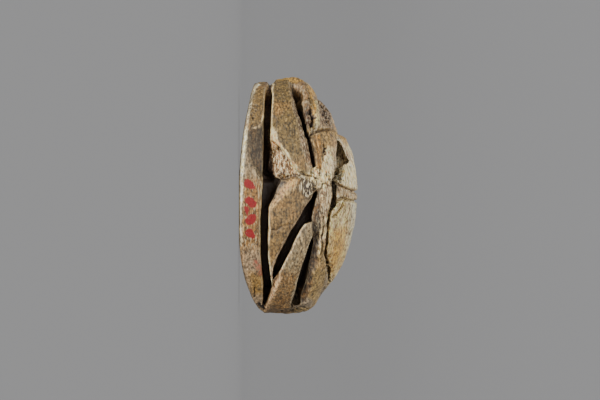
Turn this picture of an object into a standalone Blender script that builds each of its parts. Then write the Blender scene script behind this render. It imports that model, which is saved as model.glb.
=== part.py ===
"""A scarab amulet, carved from one piece of stone.

An oval base plate carries a beetle with folded legs. X runs along the beetle with its head at -X,
Z is up through its back, and it rests on a flat spot of its underside at z = 0. The flank that is
described by the outlines below is mirrored to the other side.

Carved outlines are given in percent: first the share of the length from the lip of the head to the
tail, then the share of the height from the underside to the top of the back.
"""
import math

import bmesh
import bpy
from mathutils import Matrix, Vector

# Driving sizes, metres
LENGTH = 0.0203
WIDTH = 0.0144
HEIGHT = 0.01015
LIP_REACH = 0.0002
LIP_HALF_WIDTH = 0.0024
STRING_HOLE_RADIUS = 0.0008
EDGE_BEVEL = 0.00028
FLAT_SPOT_CUT = 0.00005

LIP_FROM, LIP_TO = 0.33, 0.54
LIP_DEPTH = 0.0016
LIP_STEPS = 10
STRING_HOLE_AT = 0.36
HOLE_SIDES = 20

# How deep each kind of carving goes below the uncarved form, metres
LINE_DEPTH = 0.00028
RECESS_DEPTH = 0.00055
GROOVE_DEPTH = 0.00095
GAP_DEPTH = 0.0017

# Plan of the base, a superellipse
PLAN_POWER = 2.3
HALF_LENGTH = (LENGTH - LIP_REACH) / 2
HALF_WIDTH = WIDTH / 2
PLAN_CENTRE_X = LIP_REACH / 2

# Side view, shares of the length and of the height
LOWEST = 0.565
FRONT_RISE, FRONT_CURVE = 0.155, 2.4
REAR_RISE, REAR_CURVE = 0.205, 3.0
SHOULDER = 0.514
DOME_CENTRE, DOME_FRONT, DOME_REAR = 0.4746, 0.3645, 0.471
HEAD_PROFILE = ((0.0, 0.54), (0.015, 0.58), (0.03, 0.617), (0.095, 0.685), (0.125, 0.75), (0.25, 0.862))
TAIL_PROFILE = ((0.90, 0.705), (0.934, 0.68), (0.951, 0.662), (0.968, 0.636), (0.981, 0.602), (1.0, 0.53))

# Width of the wall between plate and shoulder, shares of the plan at shares of the height
WALL = ((0.215, 1.0), (0.30, 0.992), (0.41, 0.978), (0.514, 0.955))
UNDERSIDE_RINGS = (0.1, 0.22, 0.36, 0.55, 0.75, 0.9)
DOME_STEPS = 8
AROUND = 72

# The beetle's flank, cut to a line's depth
FORE_LEG_END = (
    (39.2, 48.5), (40.3, 51.7), (41.2, 55.9), (41.7, 61), (42.7, 61), (42.2, 55.6), (41.3, 51), (40.3, 48),
)
NECK_LINE = (
    (25.4, 59.6), (24.3, 65.3), (23.5, 69), (23.2, 84), (22.4, 84), (22.6, 68.4), (23.4, 64.6), (24.4, 59),
)
THIN_LINE = (
    (59.5, 71.4), (64.6, 71), (73.1, 69.8), (74.8, 68.8), (74.8, 68), (73.1, 68.8), (64.6, 70), (59.5, 70.4),
)
WING_NOTCH = (
    (51.9, 88.8), (54, 86.7), (56.1, 84.2), (58.1, 80.8), (59.3, 77.8),
    (58.3, 77.2), (57.3, 80.2), (55.4, 83.2), (53.4, 85.6), (51.4, 87.8),
)
BAND_FRONT = (
    (44.2, 79.5), (46, 85.6), (46.8, 89.8), (47.9, 94.1), (48.2, 97), (48.3, 102),
    (49.2, 102), (49.1, 97), (48.8, 94), (47.7, 89.6), (46.9, 85.2), (45.3, 79.5),
)
BAND_REAR = (
    (52.2, 79.5), (51.2, 83.9), (50.7, 86.4), (51.5, 90.7), (51.9, 95.8), (52.1, 102),
    (53, 102), (52.8, 95.8), (52.4, 90.5), (51.7, 86.6), (52.2, 84.1), (53.2, 79.5),
)

# Cut to a recess's depth
LEG_RECESS = (
    (27.3, 24), (27.3, 30), (30.7, 35.6), (35, 42.4), (40, 49.2), (41.7, 51.7), (43.2, 45), (43.2, 24),
)
STRIP_GROOVE = (
    (25, 56), (30.7, 59.8), (35, 61.6), (38.6, 63.2), (38.3, 64.8), (35, 63.9), (30.7, 62.6), (25.4, 60.2),
)
WING_EDGE = (
    (43, 80.8), (54, 80.6), (56.6, 76.4), (60.4, 75.2), (69, 73.9), (74.8, 73.2), (78.2, 75.6),
    (83.7, 76.4), (87.5, 76.4), (87.5, 74.4), (83.7, 74.6), (78.2, 73.8), (74.8, 71.2), (69, 72),
    (60.4, 73.2), (56.6, 73.8), (53.8, 78), (43, 78),
)

# Cut to a groove's depth
PLATE_GROOVE_FRONT = (
    (-3, 24.6), (5.3, 22.9), (13.8, 21.4), (22, 21.2), (42.6, 20.3), (52, 19.1), (52, 27.9), (51.1, 28.8),
    (46.8, 32.2), (44.7, 34.7), (43.4, 35.5), (42.2, 31), (40, 28), (37.9, 25), (34.1, 25.6), (27.8, 26.3),
    (20.1, 27), (13.8, 27.5), (5.3, 28.2), (-3, 29),
)
PLATE_GROOVE_REAR = (
    (51, 19.2), (60.4, 17.8), (69, 17.8), (77.3, 18.6), (85, 20.2), (92.6, 20.5), (97.2, 19.2),
    (97.6, 20.8), (95.1, 23), (92.6, 25), (90, 26.7), (87.5, 28), (85.4, 28.4), (81.6, 26.7),
    (77.3, 25), (69, 24.3), (61, 24.8), (54.4, 25.2), (51, 28.8),
)
HEAD_NOTCH = (
    (-2, 38), (3.6, 42.4), (9.5, 47.5), (13.8, 49.2), (18, 52.5), (22.2, 54.2), (26, 56.2), (26, 58.6),
    (22.2, 59.3), (18, 56.4), (13.8, 55), (9.5, 53.6), (5.3, 52), (-2, 50),
)
BACK_HOLLOW = (
    (26.5, 82.6), (29.9, 86.4), (32.8, 89), (35.8, 91.9), (37.5, 86.6), (43.6, 85.4), (43.6, 78.4),
    (40, 79), (38.3, 80.2), (30.7, 81.2),
)

# Cut to a gap's depth
MID_GAP = (
    (46.6, 67.2), (51.1, 64.4), (56.1, 62.3), (60.8, 61), (61.7, 55.1), (64.6, 50.8), (68.9, 46.6),
    (73.5, 42.4), (77.8, 38.1), (82, 33.9), (85, 29.3), (84.4, 27), (81.6, 27.5), (78.2, 30.5),
    (73.9, 33.9), (69.3, 39), (64.2, 44.1), (60, 50), (55.7, 54.2), (51.5, 60.2),
)
HIND_GAP = (
    (65.6, 63), (68, 64.4), (70.1, 62.7), (75.6, 61), (80.3, 58.9), (85.8, 56.8), (91.3, 53.8),
    (95.6, 50.8), (95.9, 43.4), (94.3, 44.1), (89.2, 47.5), (84.5, 50), (79.9, 52.5), (75.2, 55.5),
    (70.6, 58.5), (66.9, 61.5),
)

# The shoulder of the back stands over the head by what this outline takes off, right across
SHOULDER_STEP = (
    (24.9, 92), (24.9, 88.6), (24.2, 86), (23.5, 84.6), (17.6, 79.5), (12.5, 75), (12.5, 92),
)

# The wing cases meet along the back, and the head shows its lip and its cheeks from above
SUTURE_WIDTH = 0.00024
SUTURE_FROM, SUTURE_TO = 0.525, 0.93
CHEEK_FROM, CHEEK_TO = (0.02, 0.16), (0.215, 0.34)
LIP_LINE_AT, LIP_LINE_HALF = 0.095, 0.22

# The underside has an engraved border and rows of short strokes, and its middle stays plain
BORDER_INNER, BORDER_OUTER = 0.83, 0.87
STROKE_LENGTH, STROKE_WIDTH = 0.09 * WIDTH, 0.00026
STROKE_ROWS = (0.24, 0.31, 0.71, 0.78)
STROKES_ACROSS, STROKE_PITCH = 5, 0.11 * WIDTH
STROKE_LEAN = math.radians(24)
UNDERSIDE_DEPTH = 0.0002

# How far inwards a cutter on the flank reaches, from the middle plane
FLANK_FROM = 0.28 * HALF_WIDTH
HEAD_HALF_WIDTH = LIP_HALF_WIDTH + EDGE_BEVEL
OUTSIDE = 0.7 * LENGTH
WELD = 1e-7

SIDE_VIEW = Matrix.Rotation(math.pi / 2, 4, "X")

STONE_COLOUR = (0.36, 0.25, 0.13, 1.0)
STONE_ROUGHNESS = 0.72


def clear_scene():
    """Removes every object that the file opened with."""
    for obj in list(bpy.data.objects):
        bpy.data.objects.remove(obj, do_unlink=True)


def new_collection(name):
    """Returns a new collection under the scene's own."""
    collection = bpy.data.collections.new(name)
    bpy.context.scene.collection.children.link(collection)
    return collection


def interpolate(table, share):
    """Reads a value from a table of (place, value) pairs, held level past its ends."""
    if share <= table[0][0]:
        return table[0][1]
    for (start, low), (end, high) in zip(table, table[1:]):
        if share <= end:
            return low + (high - low) * (share - start) / (end - start)
    return table[-1][1]


def share_along(x):
    """Turns a place along the beetle into a share of its length from the head."""
    return x / LENGTH + 0.5


def underside_height(x):
    """Height of the underside, which curves up to both ends from its lowest place."""
    share = share_along(x)
    if share < LOWEST:
        rise = FRONT_RISE * ((LOWEST - share) / LOWEST) ** FRONT_CURVE
    else:
        rise = REAR_RISE * ((share - LOWEST) / (1 - LOWEST)) ** REAR_CURVE
    return HEIGHT * rise - FLAT_SPOT_CUT


def back_height(x):
    """Height of the back's middle line: the dome over the head and the tail."""
    share = share_along(x)
    reach = DOME_FRONT if share < DOME_CENTRE else DOME_REAR
    along = min(1.0, abs(share - DOME_CENTRE) / reach)
    dome = SHOULDER + (1 - SHOULDER) * math.sqrt(1 - along ** 2)
    ends = HEAD_PROFILE if share < DOME_CENTRE else TAIL_PROFILE
    low_end = share <= HEAD_PROFILE[-1][0] or share >= TAIL_PROFILE[0][0]
    return HEIGHT * (max(dome, interpolate(ends, share)) if low_end else dome)


def plan_point(angle, inset):
    """Returns the point of the base's outline at an angle, moved inwards by an inset."""
    cosine, sine = math.cos(angle), math.sin(angle)
    x = math.copysign(abs(cosine) ** (2 / PLAN_POWER), cosine) * (HALF_LENGTH - inset)
    y = math.copysign(abs(sine) ** (2 / PLAN_POWER), sine) * (HALF_WIDTH - inset)
    return PLAN_CENTRE_X + x, y


def plan_half_width(x, inset):
    """Half the width of the base's outline at a place along it."""
    along = min(1.0, abs(x - PLAN_CENTRE_X) / (HALF_LENGTH - inset))
    return (HALF_WIDTH - inset) * (1 - along ** PLAN_POWER) ** (1 / PLAN_POWER)


def shoulder_height(x, inset):
    """Height where the wall ends and the dome begins."""
    return min(HEIGHT * SHOULDER, back_height(x) - inset - EDGE_BEVEL)


def dome_height(x, y, inset):
    """Height of the dome over a point of the plan."""
    shoulder = shoulder_height(x, inset)
    reach = plan_half_width(x, inset) * WALL[-1][1]
    across = min(1.0, abs(y) / reach) if reach > 0 else 1.0
    return shoulder + (back_height(x) - inset - shoulder) * math.sqrt(1 - across ** 2)


def plan_outline(inset):
    """The points of the base's outline, moved inwards by an inset."""
    return [plan_point(2 * math.pi * (step + 0.5) / AROUND, inset) for step in range(AROUND)]


def drawn_in(outline, along, across):
    """An outline drawn towards the plan's centre by one scale along X and one along Y."""
    return [(PLAN_CENTRE_X + (x - PLAN_CENTRE_X) * along, y * across) for x, y in outline]


def form_rings(inset):
    """Returns the rings of the uncarved form, from the underside to the top of the back."""
    outline = plan_outline(inset)
    rings = []
    for scale in (*UNDERSIDE_RINGS, 1 - EDGE_BEVEL / HALF_WIDTH):
        ring = drawn_in(outline, scale, scale)
        rings.append([(x, y, underside_height(x) + inset) for x, y in ring])
    rings.append([(x, y, underside_height(x) + inset + EDGE_BEVEL) for x, y in outline])
    wall_foot, wall_top = WALL[0][0], WALL[-1][0]
    for share, scale in WALL:
        level = (share - wall_foot) / (wall_top - wall_foot)
        ring = []
        for x, y in drawn_in(outline, 1, scale):
            low = max(underside_height(x) + inset + 2 * EDGE_BEVEL, HEIGHT * wall_foot)
            ring.append((x, y, low + (shoulder_height(x, inset) - low) * level))
        rings.append(ring)
    for step in range(1, DOME_STEPS):
        scale = math.cos(math.pi / 2 * step / DOME_STEPS)
        ring = drawn_in(outline, scale, scale * WALL[-1][1])
        rings.append([(x, y, dome_height(x, y, inset)) for x, y in ring])
    return rings


def build_form(name, inset, collection):
    """Lofts the uncarved form, or its core when it has an inset, as one closed mesh."""
    bm = bmesh.new()
    rings = [[bm.verts.new(point) for point in ring] for ring in form_rings(inset)]
    for lower, upper in zip(rings, rings[1:]):
        for index in range(AROUND):
            after = (index + 1) % AROUND
            bm.faces.new((lower[index], lower[after], upper[after], upper[index]))
    foot = bm.verts.new((PLAN_CENTRE_X, 0, underside_height(PLAN_CENTRE_X) + inset))
    crown = bm.verts.new((PLAN_CENTRE_X, 0, dome_height(PLAN_CENTRE_X, 0, inset)))
    for index in range(AROUND):
        after = (index + 1) % AROUND
        bm.faces.new((rings[0][after], rings[0][index], foot))
        bm.faces.new((rings[-1][index], rings[-1][after], crown))
    bmesh.ops.recalc_face_normals(bm, faces=bm.faces)
    mesh = bpy.data.meshes.new(name)
    bm.to_mesh(mesh)
    bm.free()
    obj = bpy.data.objects.new(name, mesh)
    collection.objects.link(obj)
    return obj


def as_cutter(obj):
    """Keeps a helper out of the render."""
    obj.hide_render = True
    obj.display_type = "WIRE"
    return obj


def outline_solid(name, points, low, high, matrix, collection):
    """Extrudes a flat outline between two levels and returns it as a closed mesh object."""
    curve = bpy.data.curves.new(name, "CURVE")
    curve.dimensions = "2D"
    curve.fill_mode = "BOTH"
    curve.extrude = (high - low) / 2
    spline = curve.splines.new("POLY")
    spline.points.add(len(points) - 1)
    for control, (across, up) in zip(spline.points, points):
        control.co = (across, up, 0, 1)
    spline.use_cyclic_u = True
    flat = bpy.data.objects.new(name, curve)
    collection.objects.link(flat)
    bpy.context.view_layer.update()
    depsgraph = bpy.context.evaluated_depsgraph_get()
    mesh = bpy.data.meshes.new_from_object(flat.evaluated_get(depsgraph))
    bpy.data.objects.remove(flat, do_unlink=True)
    bm = bmesh.new()
    bm.from_mesh(mesh)
    bmesh.ops.remove_doubles(bm, verts=bm.verts, dist=WELD)
    bmesh.ops.translate(bm, verts=bm.verts, vec=(0, 0, (low + high) / 2))
    bmesh.ops.transform(bm, matrix=matrix, verts=bm.verts)
    bmesh.ops.recalc_face_normals(bm, faces=bm.faces)
    bm.to_mesh(mesh)
    bm.free()
    mesh.name = name
    obj = bpy.data.objects.new(name, mesh)
    collection.objects.link(obj)
    return as_cutter(obj)


def side_points(outline):
    """Turns percent of the length and height into metres along X and Z."""
    return [(LENGTH * (along / 100 - 0.5), HEIGHT * up / 100) for along, up in outline]


def flank_cutters(name, outline, collection, inner=FLANK_FROM):
    """One cutter for each flank, from an outline in the side view."""
    points = side_points(outline)
    left = outline_solid(name + "_left", points, inner, OUTSIDE, SIDE_VIEW, collection)
    right = outline_solid(name + "_right", points, -OUTSIDE, -inner, SIDE_VIEW, collection)
    return [left, right]


def through_cutter(name, outline, collection):
    """One cutter from flank to flank, from an outline in the side view."""
    return outline_solid(name, side_points(outline), -OUTSIDE, OUTSIDE, SIDE_VIEW, collection)


def strip_between(start, end, width):
    """The outline of a straight strip between two points."""
    along = (Vector(end) - Vector(start)).normalized() * width / 2
    side = Vector((-along.y, along.x))
    corners = (
        Vector(start) - along - side,
        Vector(end) + along - side,
        Vector(end) + along + side,
        Vector(start) - along + side,
    )
    return [tuple(corner) for corner in corners]


def plan_place(along, across):
    """A point of the plan, from shares of the length and of half the width."""
    return LENGTH * (along - 0.5), HALF_WIDTH * across


def back_cutters(collection):
    """The lines that are cut into the back from above: wing cases, cheeks and the head's lip."""
    low, high = HEIGHT * SHOULDER, HEIGHT + OUTSIDE
    strips = [(plan_place(SUTURE_FROM, 0), plan_place(SUTURE_TO, 0))]
    for side in (-1, 1):
        start = plan_place(CHEEK_FROM[0], side * CHEEK_FROM[1])
        strips.append((start, plan_place(CHEEK_TO[0], side * CHEEK_TO[1])))
    lip_left = plan_place(LIP_LINE_AT, -LIP_LINE_HALF)
    strips.append((lip_left, plan_place(LIP_LINE_AT, LIP_LINE_HALF)))
    cutters = []
    for number, (start, end) in enumerate(strips):
        strip = strip_between(start, end, SUTURE_WIDTH)
        cutters.append(outline_solid(f"back_line_{number}", strip, low, high, Matrix(), collection))
    return cutters


def underside_cutters(collection):
    """The engraved border of the underside and its rows of short strokes."""
    low, high = -OUTSIDE, HEIGHT * WALL[0][0] / 2
    outline = plan_outline(0)
    cutters = []
    for half in (0, 1):
        arc = [outline[(half * AROUND // 2 + step) % AROUND] for step in range(AROUND // 2 + 2)]
        edge = drawn_in(arc, BORDER_OUTER, BORDER_OUTER) + drawn_in(arc[::-1], BORDER_INNER, BORDER_INNER)
        cutters.append(outline_solid(f"border_{half}", edge, low, high, Matrix(), collection))
    for row, share in enumerate(STROKE_ROWS):
        lean = STROKE_LEAN if row % 2 else -STROKE_LEAN
        reach = Vector((math.cos(lean), math.sin(lean))) * STROKE_LENGTH / 2
        for place in range(STROKES_ACROSS):
            centre = Vector((LENGTH * (share - 0.5), (place - (STROKES_ACROSS - 1) / 2) * STROKE_PITCH))
            strip = strip_between(centre - reach, centre + reach, STROKE_WIDTH)
            name = f"stroke_{row}_{place}"
            cutters.append(outline_solid(name, strip, low, high, Matrix(), collection))
    return cutters


def own(obj, name, collection):
    """Names a new primitive and moves it to a collection."""
    obj.name = name
    for owner in list(obj.users_collection):
        owner.objects.unlink(obj)
    collection.objects.link(obj)
    return obj


def boolean(body, tool, operation):
    """Adds a Boolean modifier. The exact solver leaves open edges where cuts nearly touch the form."""
    modifier = body.modifiers.new(f"{operation.lower()}_{tool.name}", "BOOLEAN")
    modifier.operation = operation
    modifier.solver = "MANIFOLD"
    modifier.object = tool


def carve(body, cutters, core_name, depth, collection):
    """Cuts outlines into the body down to a core that lies a depth below its uncarved form."""
    for cutter in cutters:
        boolean(body, cutter, "DIFFERENCE")
    core = as_cutter(build_form(core_name, depth, collection))
    boolean(body, core, "UNION")


def cut_flat_spot(body, collection):
    """Takes the lowest part of the curved underside off flat, so that the scarab stands still."""
    bpy.ops.mesh.primitive_cube_add(size=LENGTH + OUTSIDE, location=(0, 0, -(LENGTH + OUTSIDE) / 2))
    block = own(bpy.context.object, "flat_spot", collection)
    boolean(body, as_cutter(block), "DIFFERENCE")


def add_lip(body, collection):
    """Joins the lip of the head, a low rounded tongue that stands out in front."""
    low, high = HEIGHT * LIP_FROM, HEIGHT * LIP_TO
    front = -LENGTH / 2
    outline = []
    for step in range(LIP_STEPS + 1):
        angle = math.pi * (step / LIP_STEPS - 0.5)
        outline.append((front + LIP_DEPTH * (1 - math.cos(angle)), LIP_HALF_WIDTH * math.sin(angle)))
    lip = outline_solid("lip", outline, low, high, Matrix(), collection)
    boolean(body, lip, "UNION")


def add_string_hole(body, collection):
    """Bores the hole for the string from head to tail."""
    bpy.ops.mesh.primitive_cylinder_add(
        vertices=HOLE_SIDES,
        radius=STRING_HOLE_RADIUS,
        depth=LENGTH + OUTSIDE,
        location=(0, 0, HEIGHT * STRING_HOLE_AT),
        rotation=(0, math.pi / 2, 0),
    )
    drill = own(bpy.context.object, "string_hole", collection)
    boolean(body, as_cutter(drill), "DIFFERENCE")


def stone_material():
    """The warm brown stone of the whole piece."""
    material = bpy.data.materials.new("carved_stone")
    material.use_nodes = True
    shader = material.node_tree.nodes["Principled BSDF"]
    shader.inputs["Base Color"].default_value = STONE_COLOUR
    shader.inputs["Roughness"].default_value = STONE_ROUGHNESS
    return material


def build_scarab():
    """Builds the scarab: the uncarved form first, then the carving from shallow to deep."""
    parts = new_collection("scarab_amulet")
    tools = new_collection("cutters")
    body = build_form("scarab", 0, parts)
    body.data.materials.append(stone_material())

    boolean(body, through_cutter("shoulder_step", SHOULDER_STEP, tools), "DIFFERENCE")
    cut_flat_spot(body, tools)
    carve(body, underside_cutters(tools), "core_under_strokes", UNDERSIDE_DEPTH, tools)
    lines = back_cutters(tools)
    lines.append(through_cutter("band_front", BAND_FRONT, tools))
    lines.append(through_cutter("band_rear", BAND_REAR, tools))
    for name, outline in (
        ("fore_leg_end", FORE_LEG_END),
        ("neck_line", NECK_LINE),
        ("thin_line", THIN_LINE),
        ("wing_notch", WING_NOTCH),
    ):
        lines += flank_cutters(name, outline, tools)
    carve(body, lines, "core_under_lines", LINE_DEPTH, tools)

    recesses = flank_cutters("leg_recess", LEG_RECESS, tools)
    recesses += flank_cutters("strip_groove", STRIP_GROOVE, tools)
    recesses += flank_cutters("wing_edge", WING_EDGE, tools)
    carve(body, recesses, "core_under_recesses", RECESS_DEPTH, tools)

    grooves = flank_cutters("plate_groove_front", PLATE_GROOVE_FRONT, tools, HEAD_HALF_WIDTH)
    grooves += flank_cutters("plate_groove_rear", PLATE_GROOVE_REAR, tools)
    grooves += flank_cutters("back_hollow", BACK_HOLLOW, tools)
    carve(body, grooves, "core_under_grooves", GROOVE_DEPTH, tools)

    gaps = flank_cutters("mid_gap", MID_GAP, tools)
    gaps += flank_cutters("hind_gap", HIND_GAP, tools)
    gaps += flank_cutters("head_notch", HEAD_NOTCH, tools, HEAD_HALF_WIDTH)
    carve(body, gaps, "core_under_gaps", GAP_DEPTH, tools)

    add_lip(body, tools)
    add_string_hole(body, tools)


clear_scene()
build_scarab()
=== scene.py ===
"""The looks of a small carved stone scarab amulet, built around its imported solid.

The amulet is one piece, so there is one sub-assembly here, the carving. A copy of the solid gets a
fine mesh, is worn, cut, hatched and pitted as the stone is, and takes one procedural stone finish.
Lengths are in millimetres while the stone is worked on, and the finished piece is in metres.

Places on the flank are given in the side view: X from the head (-) to the tail (+), then Z up from
the underside. Depths go straight into the stone.
"""

import logging
import math
from dataclasses import dataclass
from enum import Enum

import bpy
import numpy as np
from mathutils import Matrix, Vector
from mathutils.bvhtree import BVHTree


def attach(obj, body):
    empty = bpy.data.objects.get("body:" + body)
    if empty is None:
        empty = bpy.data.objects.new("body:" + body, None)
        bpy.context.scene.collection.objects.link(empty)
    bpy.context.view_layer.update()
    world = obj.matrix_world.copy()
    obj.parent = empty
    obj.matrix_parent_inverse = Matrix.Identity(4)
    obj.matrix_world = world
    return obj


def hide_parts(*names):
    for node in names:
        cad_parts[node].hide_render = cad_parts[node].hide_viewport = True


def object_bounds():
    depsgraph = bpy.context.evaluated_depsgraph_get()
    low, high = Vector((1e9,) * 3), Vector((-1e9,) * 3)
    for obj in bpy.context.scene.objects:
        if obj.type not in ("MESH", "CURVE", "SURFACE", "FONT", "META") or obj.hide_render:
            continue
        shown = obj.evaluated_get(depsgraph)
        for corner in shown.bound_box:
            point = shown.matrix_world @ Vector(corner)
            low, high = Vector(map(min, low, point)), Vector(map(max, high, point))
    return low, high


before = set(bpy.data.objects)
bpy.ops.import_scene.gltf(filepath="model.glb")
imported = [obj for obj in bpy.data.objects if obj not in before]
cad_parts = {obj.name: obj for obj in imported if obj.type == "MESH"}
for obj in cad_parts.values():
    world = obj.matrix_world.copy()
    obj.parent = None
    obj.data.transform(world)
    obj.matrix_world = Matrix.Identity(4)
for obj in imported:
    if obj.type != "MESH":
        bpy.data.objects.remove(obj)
CAD_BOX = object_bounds()

LOG = logging.getLogger("scarab")

MM = 0.001

# The photograph's width, and its scale where the length is taken as 20.3 mm
PICTURE_PIXELS = 600
PIXELS_PER_MM = 11.63

# Places of the colour sockets on a Mix node, and the setting of a Map Range node
MIX_FACTOR, MIX_A, MIX_B, MIX_RESULT = 0, 6, 7, 2
SMOOTH = {"interpolation_type": "SMOOTHSTEP"}

# Factors that scatter the corners of the noise cells, and their seeds, over a 32-bit number
CORNER_FACTORS = np.array((73856093, 19349663, 83492791))
SEED_FACTOR = 2654435761
SCATTER_FACTOR = 1274126177
WORD = 0xFFFFFFFF
HALF_WORD = 0xFFFF

Point = tuple[float, float]
Outline = tuple[Point, ...]
Span = tuple[float, float]


class Flank(Enum):
    """Which flanks a piece of carving is on."""

    PHOTOGRAPHED = "the flank towards -Y"
    BOTH = "both flanks"
    ROUND = "both flanks and over the back"


def linear(colour: str) -> tuple[float, float, float, float]:
    """Turns an sRGB hex colour into a linear one.

    Args:
        colour: six hex digits.

    Returns:
        Red, green and blue as linear shares, and a full alpha.
    """
    shares = [int(colour[place:place + 2], 16) / 255 for place in (0, 2, 4)]
    curved = [((share + 0.055) / 1.055) ** 2.4 if share > 0.04045 else share / 12.92 for share in shares]
    return (*curved, 1.0)


def eased(values: np.ndarray, low: float, high: float) -> np.ndarray:
    """Goes smoothly from 0 at low to 1 at high.

    Args:
        values: the numbers to ease.
        low: where the result leaves 0.
        high: where the result reaches 1.

    Returns:
        One share for each value.
    """
    share = np.clip((values - low) / (high - low), 0, 1)
    return share * share * (3 - 2 * share)


def noise(points: np.ndarray, cell: float | tuple[float, float, float], seed: int) -> np.ndarray:
    """Smooth noise in space, the same on every run.

    Args:
        points: places, one row each.
        cell: size of one noise cell along X, Y and Z, in the points' unit.
        seed: picks one noise out of many.

    Returns:
        One value from -1 to 1 for each point.
    """
    scaled = points / np.array(cell)
    base = np.floor(scaled).astype(np.int64)
    part = scaled - base
    part = part * part * (3 - 2 * part)
    total = np.zeros(len(points))
    for corner in range(8):
        step = np.array([corner & 1, corner >> 1 & 1, corner >> 2 & 1])
        x, y, z = ((base + step) * CORNER_FACTORS).T
        mixed = x ^ y ^ z ^ seed * SEED_FACTOR
        mixed = (mixed ^ mixed >> 13) * SCATTER_FACTOR & WORD
        value = (mixed >> 8 & HALF_WORD) / (HALF_WORD // 2) - 1
        total += value * np.where(step, part, 1 - part).prod(axis=1)
    return total


@dataclass(frozen=True)
class Waves:
    """Noise of one height, cell size and seed."""

    height: float
    cell: float | tuple[float, float, float]
    seed: int

    def at(self, points: np.ndarray, shift: int = 0) -> np.ndarray:
        """Their height at some points, with a shifted seed where other waves of the kind are needed."""
        return self.height * noise(points, self.cell, self.seed + shift)


def strayed(
    places: np.ndarray, points: np.ndarray, waves: tuple[Waves, ...], shift: int = 7
) -> np.ndarray:
    """Moves places a little, so that what is drawn there wavers as by hand.

    Args:
        places: X and Z in the side view, one row each.
        points: the same places in space.
        waves: how far a place moves along X.
        shift: what is added to the seeds for the moves along Z.

    Returns:
        The moved places.
    """
    moves = [sum(wave.at(points, extra) for wave in waves) for extra in (0, shift)]
    return places + np.stack(moves, axis=1)


def distance_to_path(places: np.ndarray, path: Outline, closed: bool = False) -> np.ndarray:
    """Distance from places of the side view to a line through some points.

    Args:
        places: X and Z, one row each.
        path: the line's points.
        closed: whether the line runs back to its start.

    Returns:
        One distance for each place.
    """
    starts = np.array(path)
    ends = np.roll(starts, -1, axis=0)
    if not closed:
        starts, ends = starts[:-1], ends[:-1]
    nearest = np.full(len(places), np.inf)
    for start, end in zip(starts, ends):
        along = end - start
        share = np.clip((places - start) @ along / (along @ along), 0, 1)
        gap = places - start - share[:, None] * along
        nearest = np.minimum(nearest, (gap ** 2).sum(axis=1))
    return np.sqrt(nearest)


def inside_by(places: np.ndarray, outline: Outline) -> np.ndarray:
    """How far inside an outline each place of the side view is.

    Args:
        places: X and Z, one row each.
        outline: the corners, in order round it.

    Returns:
        The distance to the outline, negative outside it.
    """
    inside = np.zeros(len(places), bool)
    for (x0, z0), (x1, z1) in zip(outline, outline[1:] + outline[:1]):
        if z0 != z1:
            crosses = (places[:, 1] < z0) != (places[:, 1] < z1)
            inside ^= crosses & (places[:, 0] < x0 + (places[:, 1] - z0) * (x1 - x0) / (z1 - z0))
    distance = distance_to_path(places, outline, closed=True)
    return np.where(inside, distance, -distance)


def covered(places: np.ndarray, outline: Outline, soft: float) -> np.ndarray:
    """Share of each place that an outline with a soft border covers."""
    return eased(inside_by(places, outline), -soft / 2, soft / 2)


class Surface:
    """A mesh as arrays, while the stone is worked on."""

    def __init__(self, mesh: bpy.types.Mesh) -> None:
        """Reads the mesh's vertices and edges.

        Args:
            mesh: the fine mesh of the stone.
        """
        self.mesh = mesh
        self.points = np.empty(len(mesh.vertices) * 3, np.float32)
        mesh.vertices.foreach_get("co", self.points)
        self.points = self.points.reshape(-1, 3).astype(float)
        ends = np.empty(len(mesh.edges) * 2, np.int32)
        mesh.edges.foreach_get("vertices", ends)
        self.first, self.second = ends.reshape(-1, 2).T
        self.neighbours = np.bincount(ends, minlength=len(self.points))

    def places(self) -> np.ndarray:
        """X and Z of each vertex, as in the side view."""
        return self.points[:, [0, 2]]

    def averaged(self, values: np.ndarray, rounds: int) -> np.ndarray:
        """Spreads values along the edges, each round by about one edge.

        Args:
            values: one row for each vertex.
            rounds: how many times the values are averaged.

        Returns:
            The averaged values, in the same shape.
        """
        size = len(self.points)
        spread = values.reshape(size, -1).astype(float)
        for _ in range(rounds):
            columns = []
            for column in spread.T:
                total = np.bincount(self.first, column[self.second], size)
                total += np.bincount(self.second, column[self.first], size)
                columns.append((column + total / self.neighbours) / 2)
            spread = np.stack(columns, axis=1)
        return spread.reshape(values.shape)

    def normals(self) -> np.ndarray:
        """Writes the points back and reads which way the mesh faces.

        Returns:
            The outward direction at each vertex.
        """
        self.write()
        found = np.empty(len(self.points) * 3, np.float32)
        self.mesh.vertex_normals.foreach_get("vector", found)
        return found.reshape(-1, 3).astype(float)

    def write(self) -> None:
        """Puts the points back into the mesh."""
        self.mesh.vertices.foreach_set("co", self.points.astype(np.float32).ravel())
        self.mesh.update()

    def standing_out(self, rounds: int) -> np.ndarray:
        """How far each vertex stands out over its surroundings, negative in a hollow."""
        return ((self.points - self.averaged(self.points, rounds)) * self.normals()).sum(axis=1)

    def store(self, name: str, values: np.ndarray) -> None:
        """Keeps values on the mesh, where the finish reads them.

        Args:
            name: the attribute's name.
            values: one number or one colour for each vertex.
        """
        kind, key = ("FLOAT_COLOR", "color") if values.ndim == 2 else ("FLOAT", "value")
        attribute = self.mesh.attributes.new(name, kind, "POINT")
        attribute.data.foreach_set(key, values.astype(np.float32).ravel())


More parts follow.
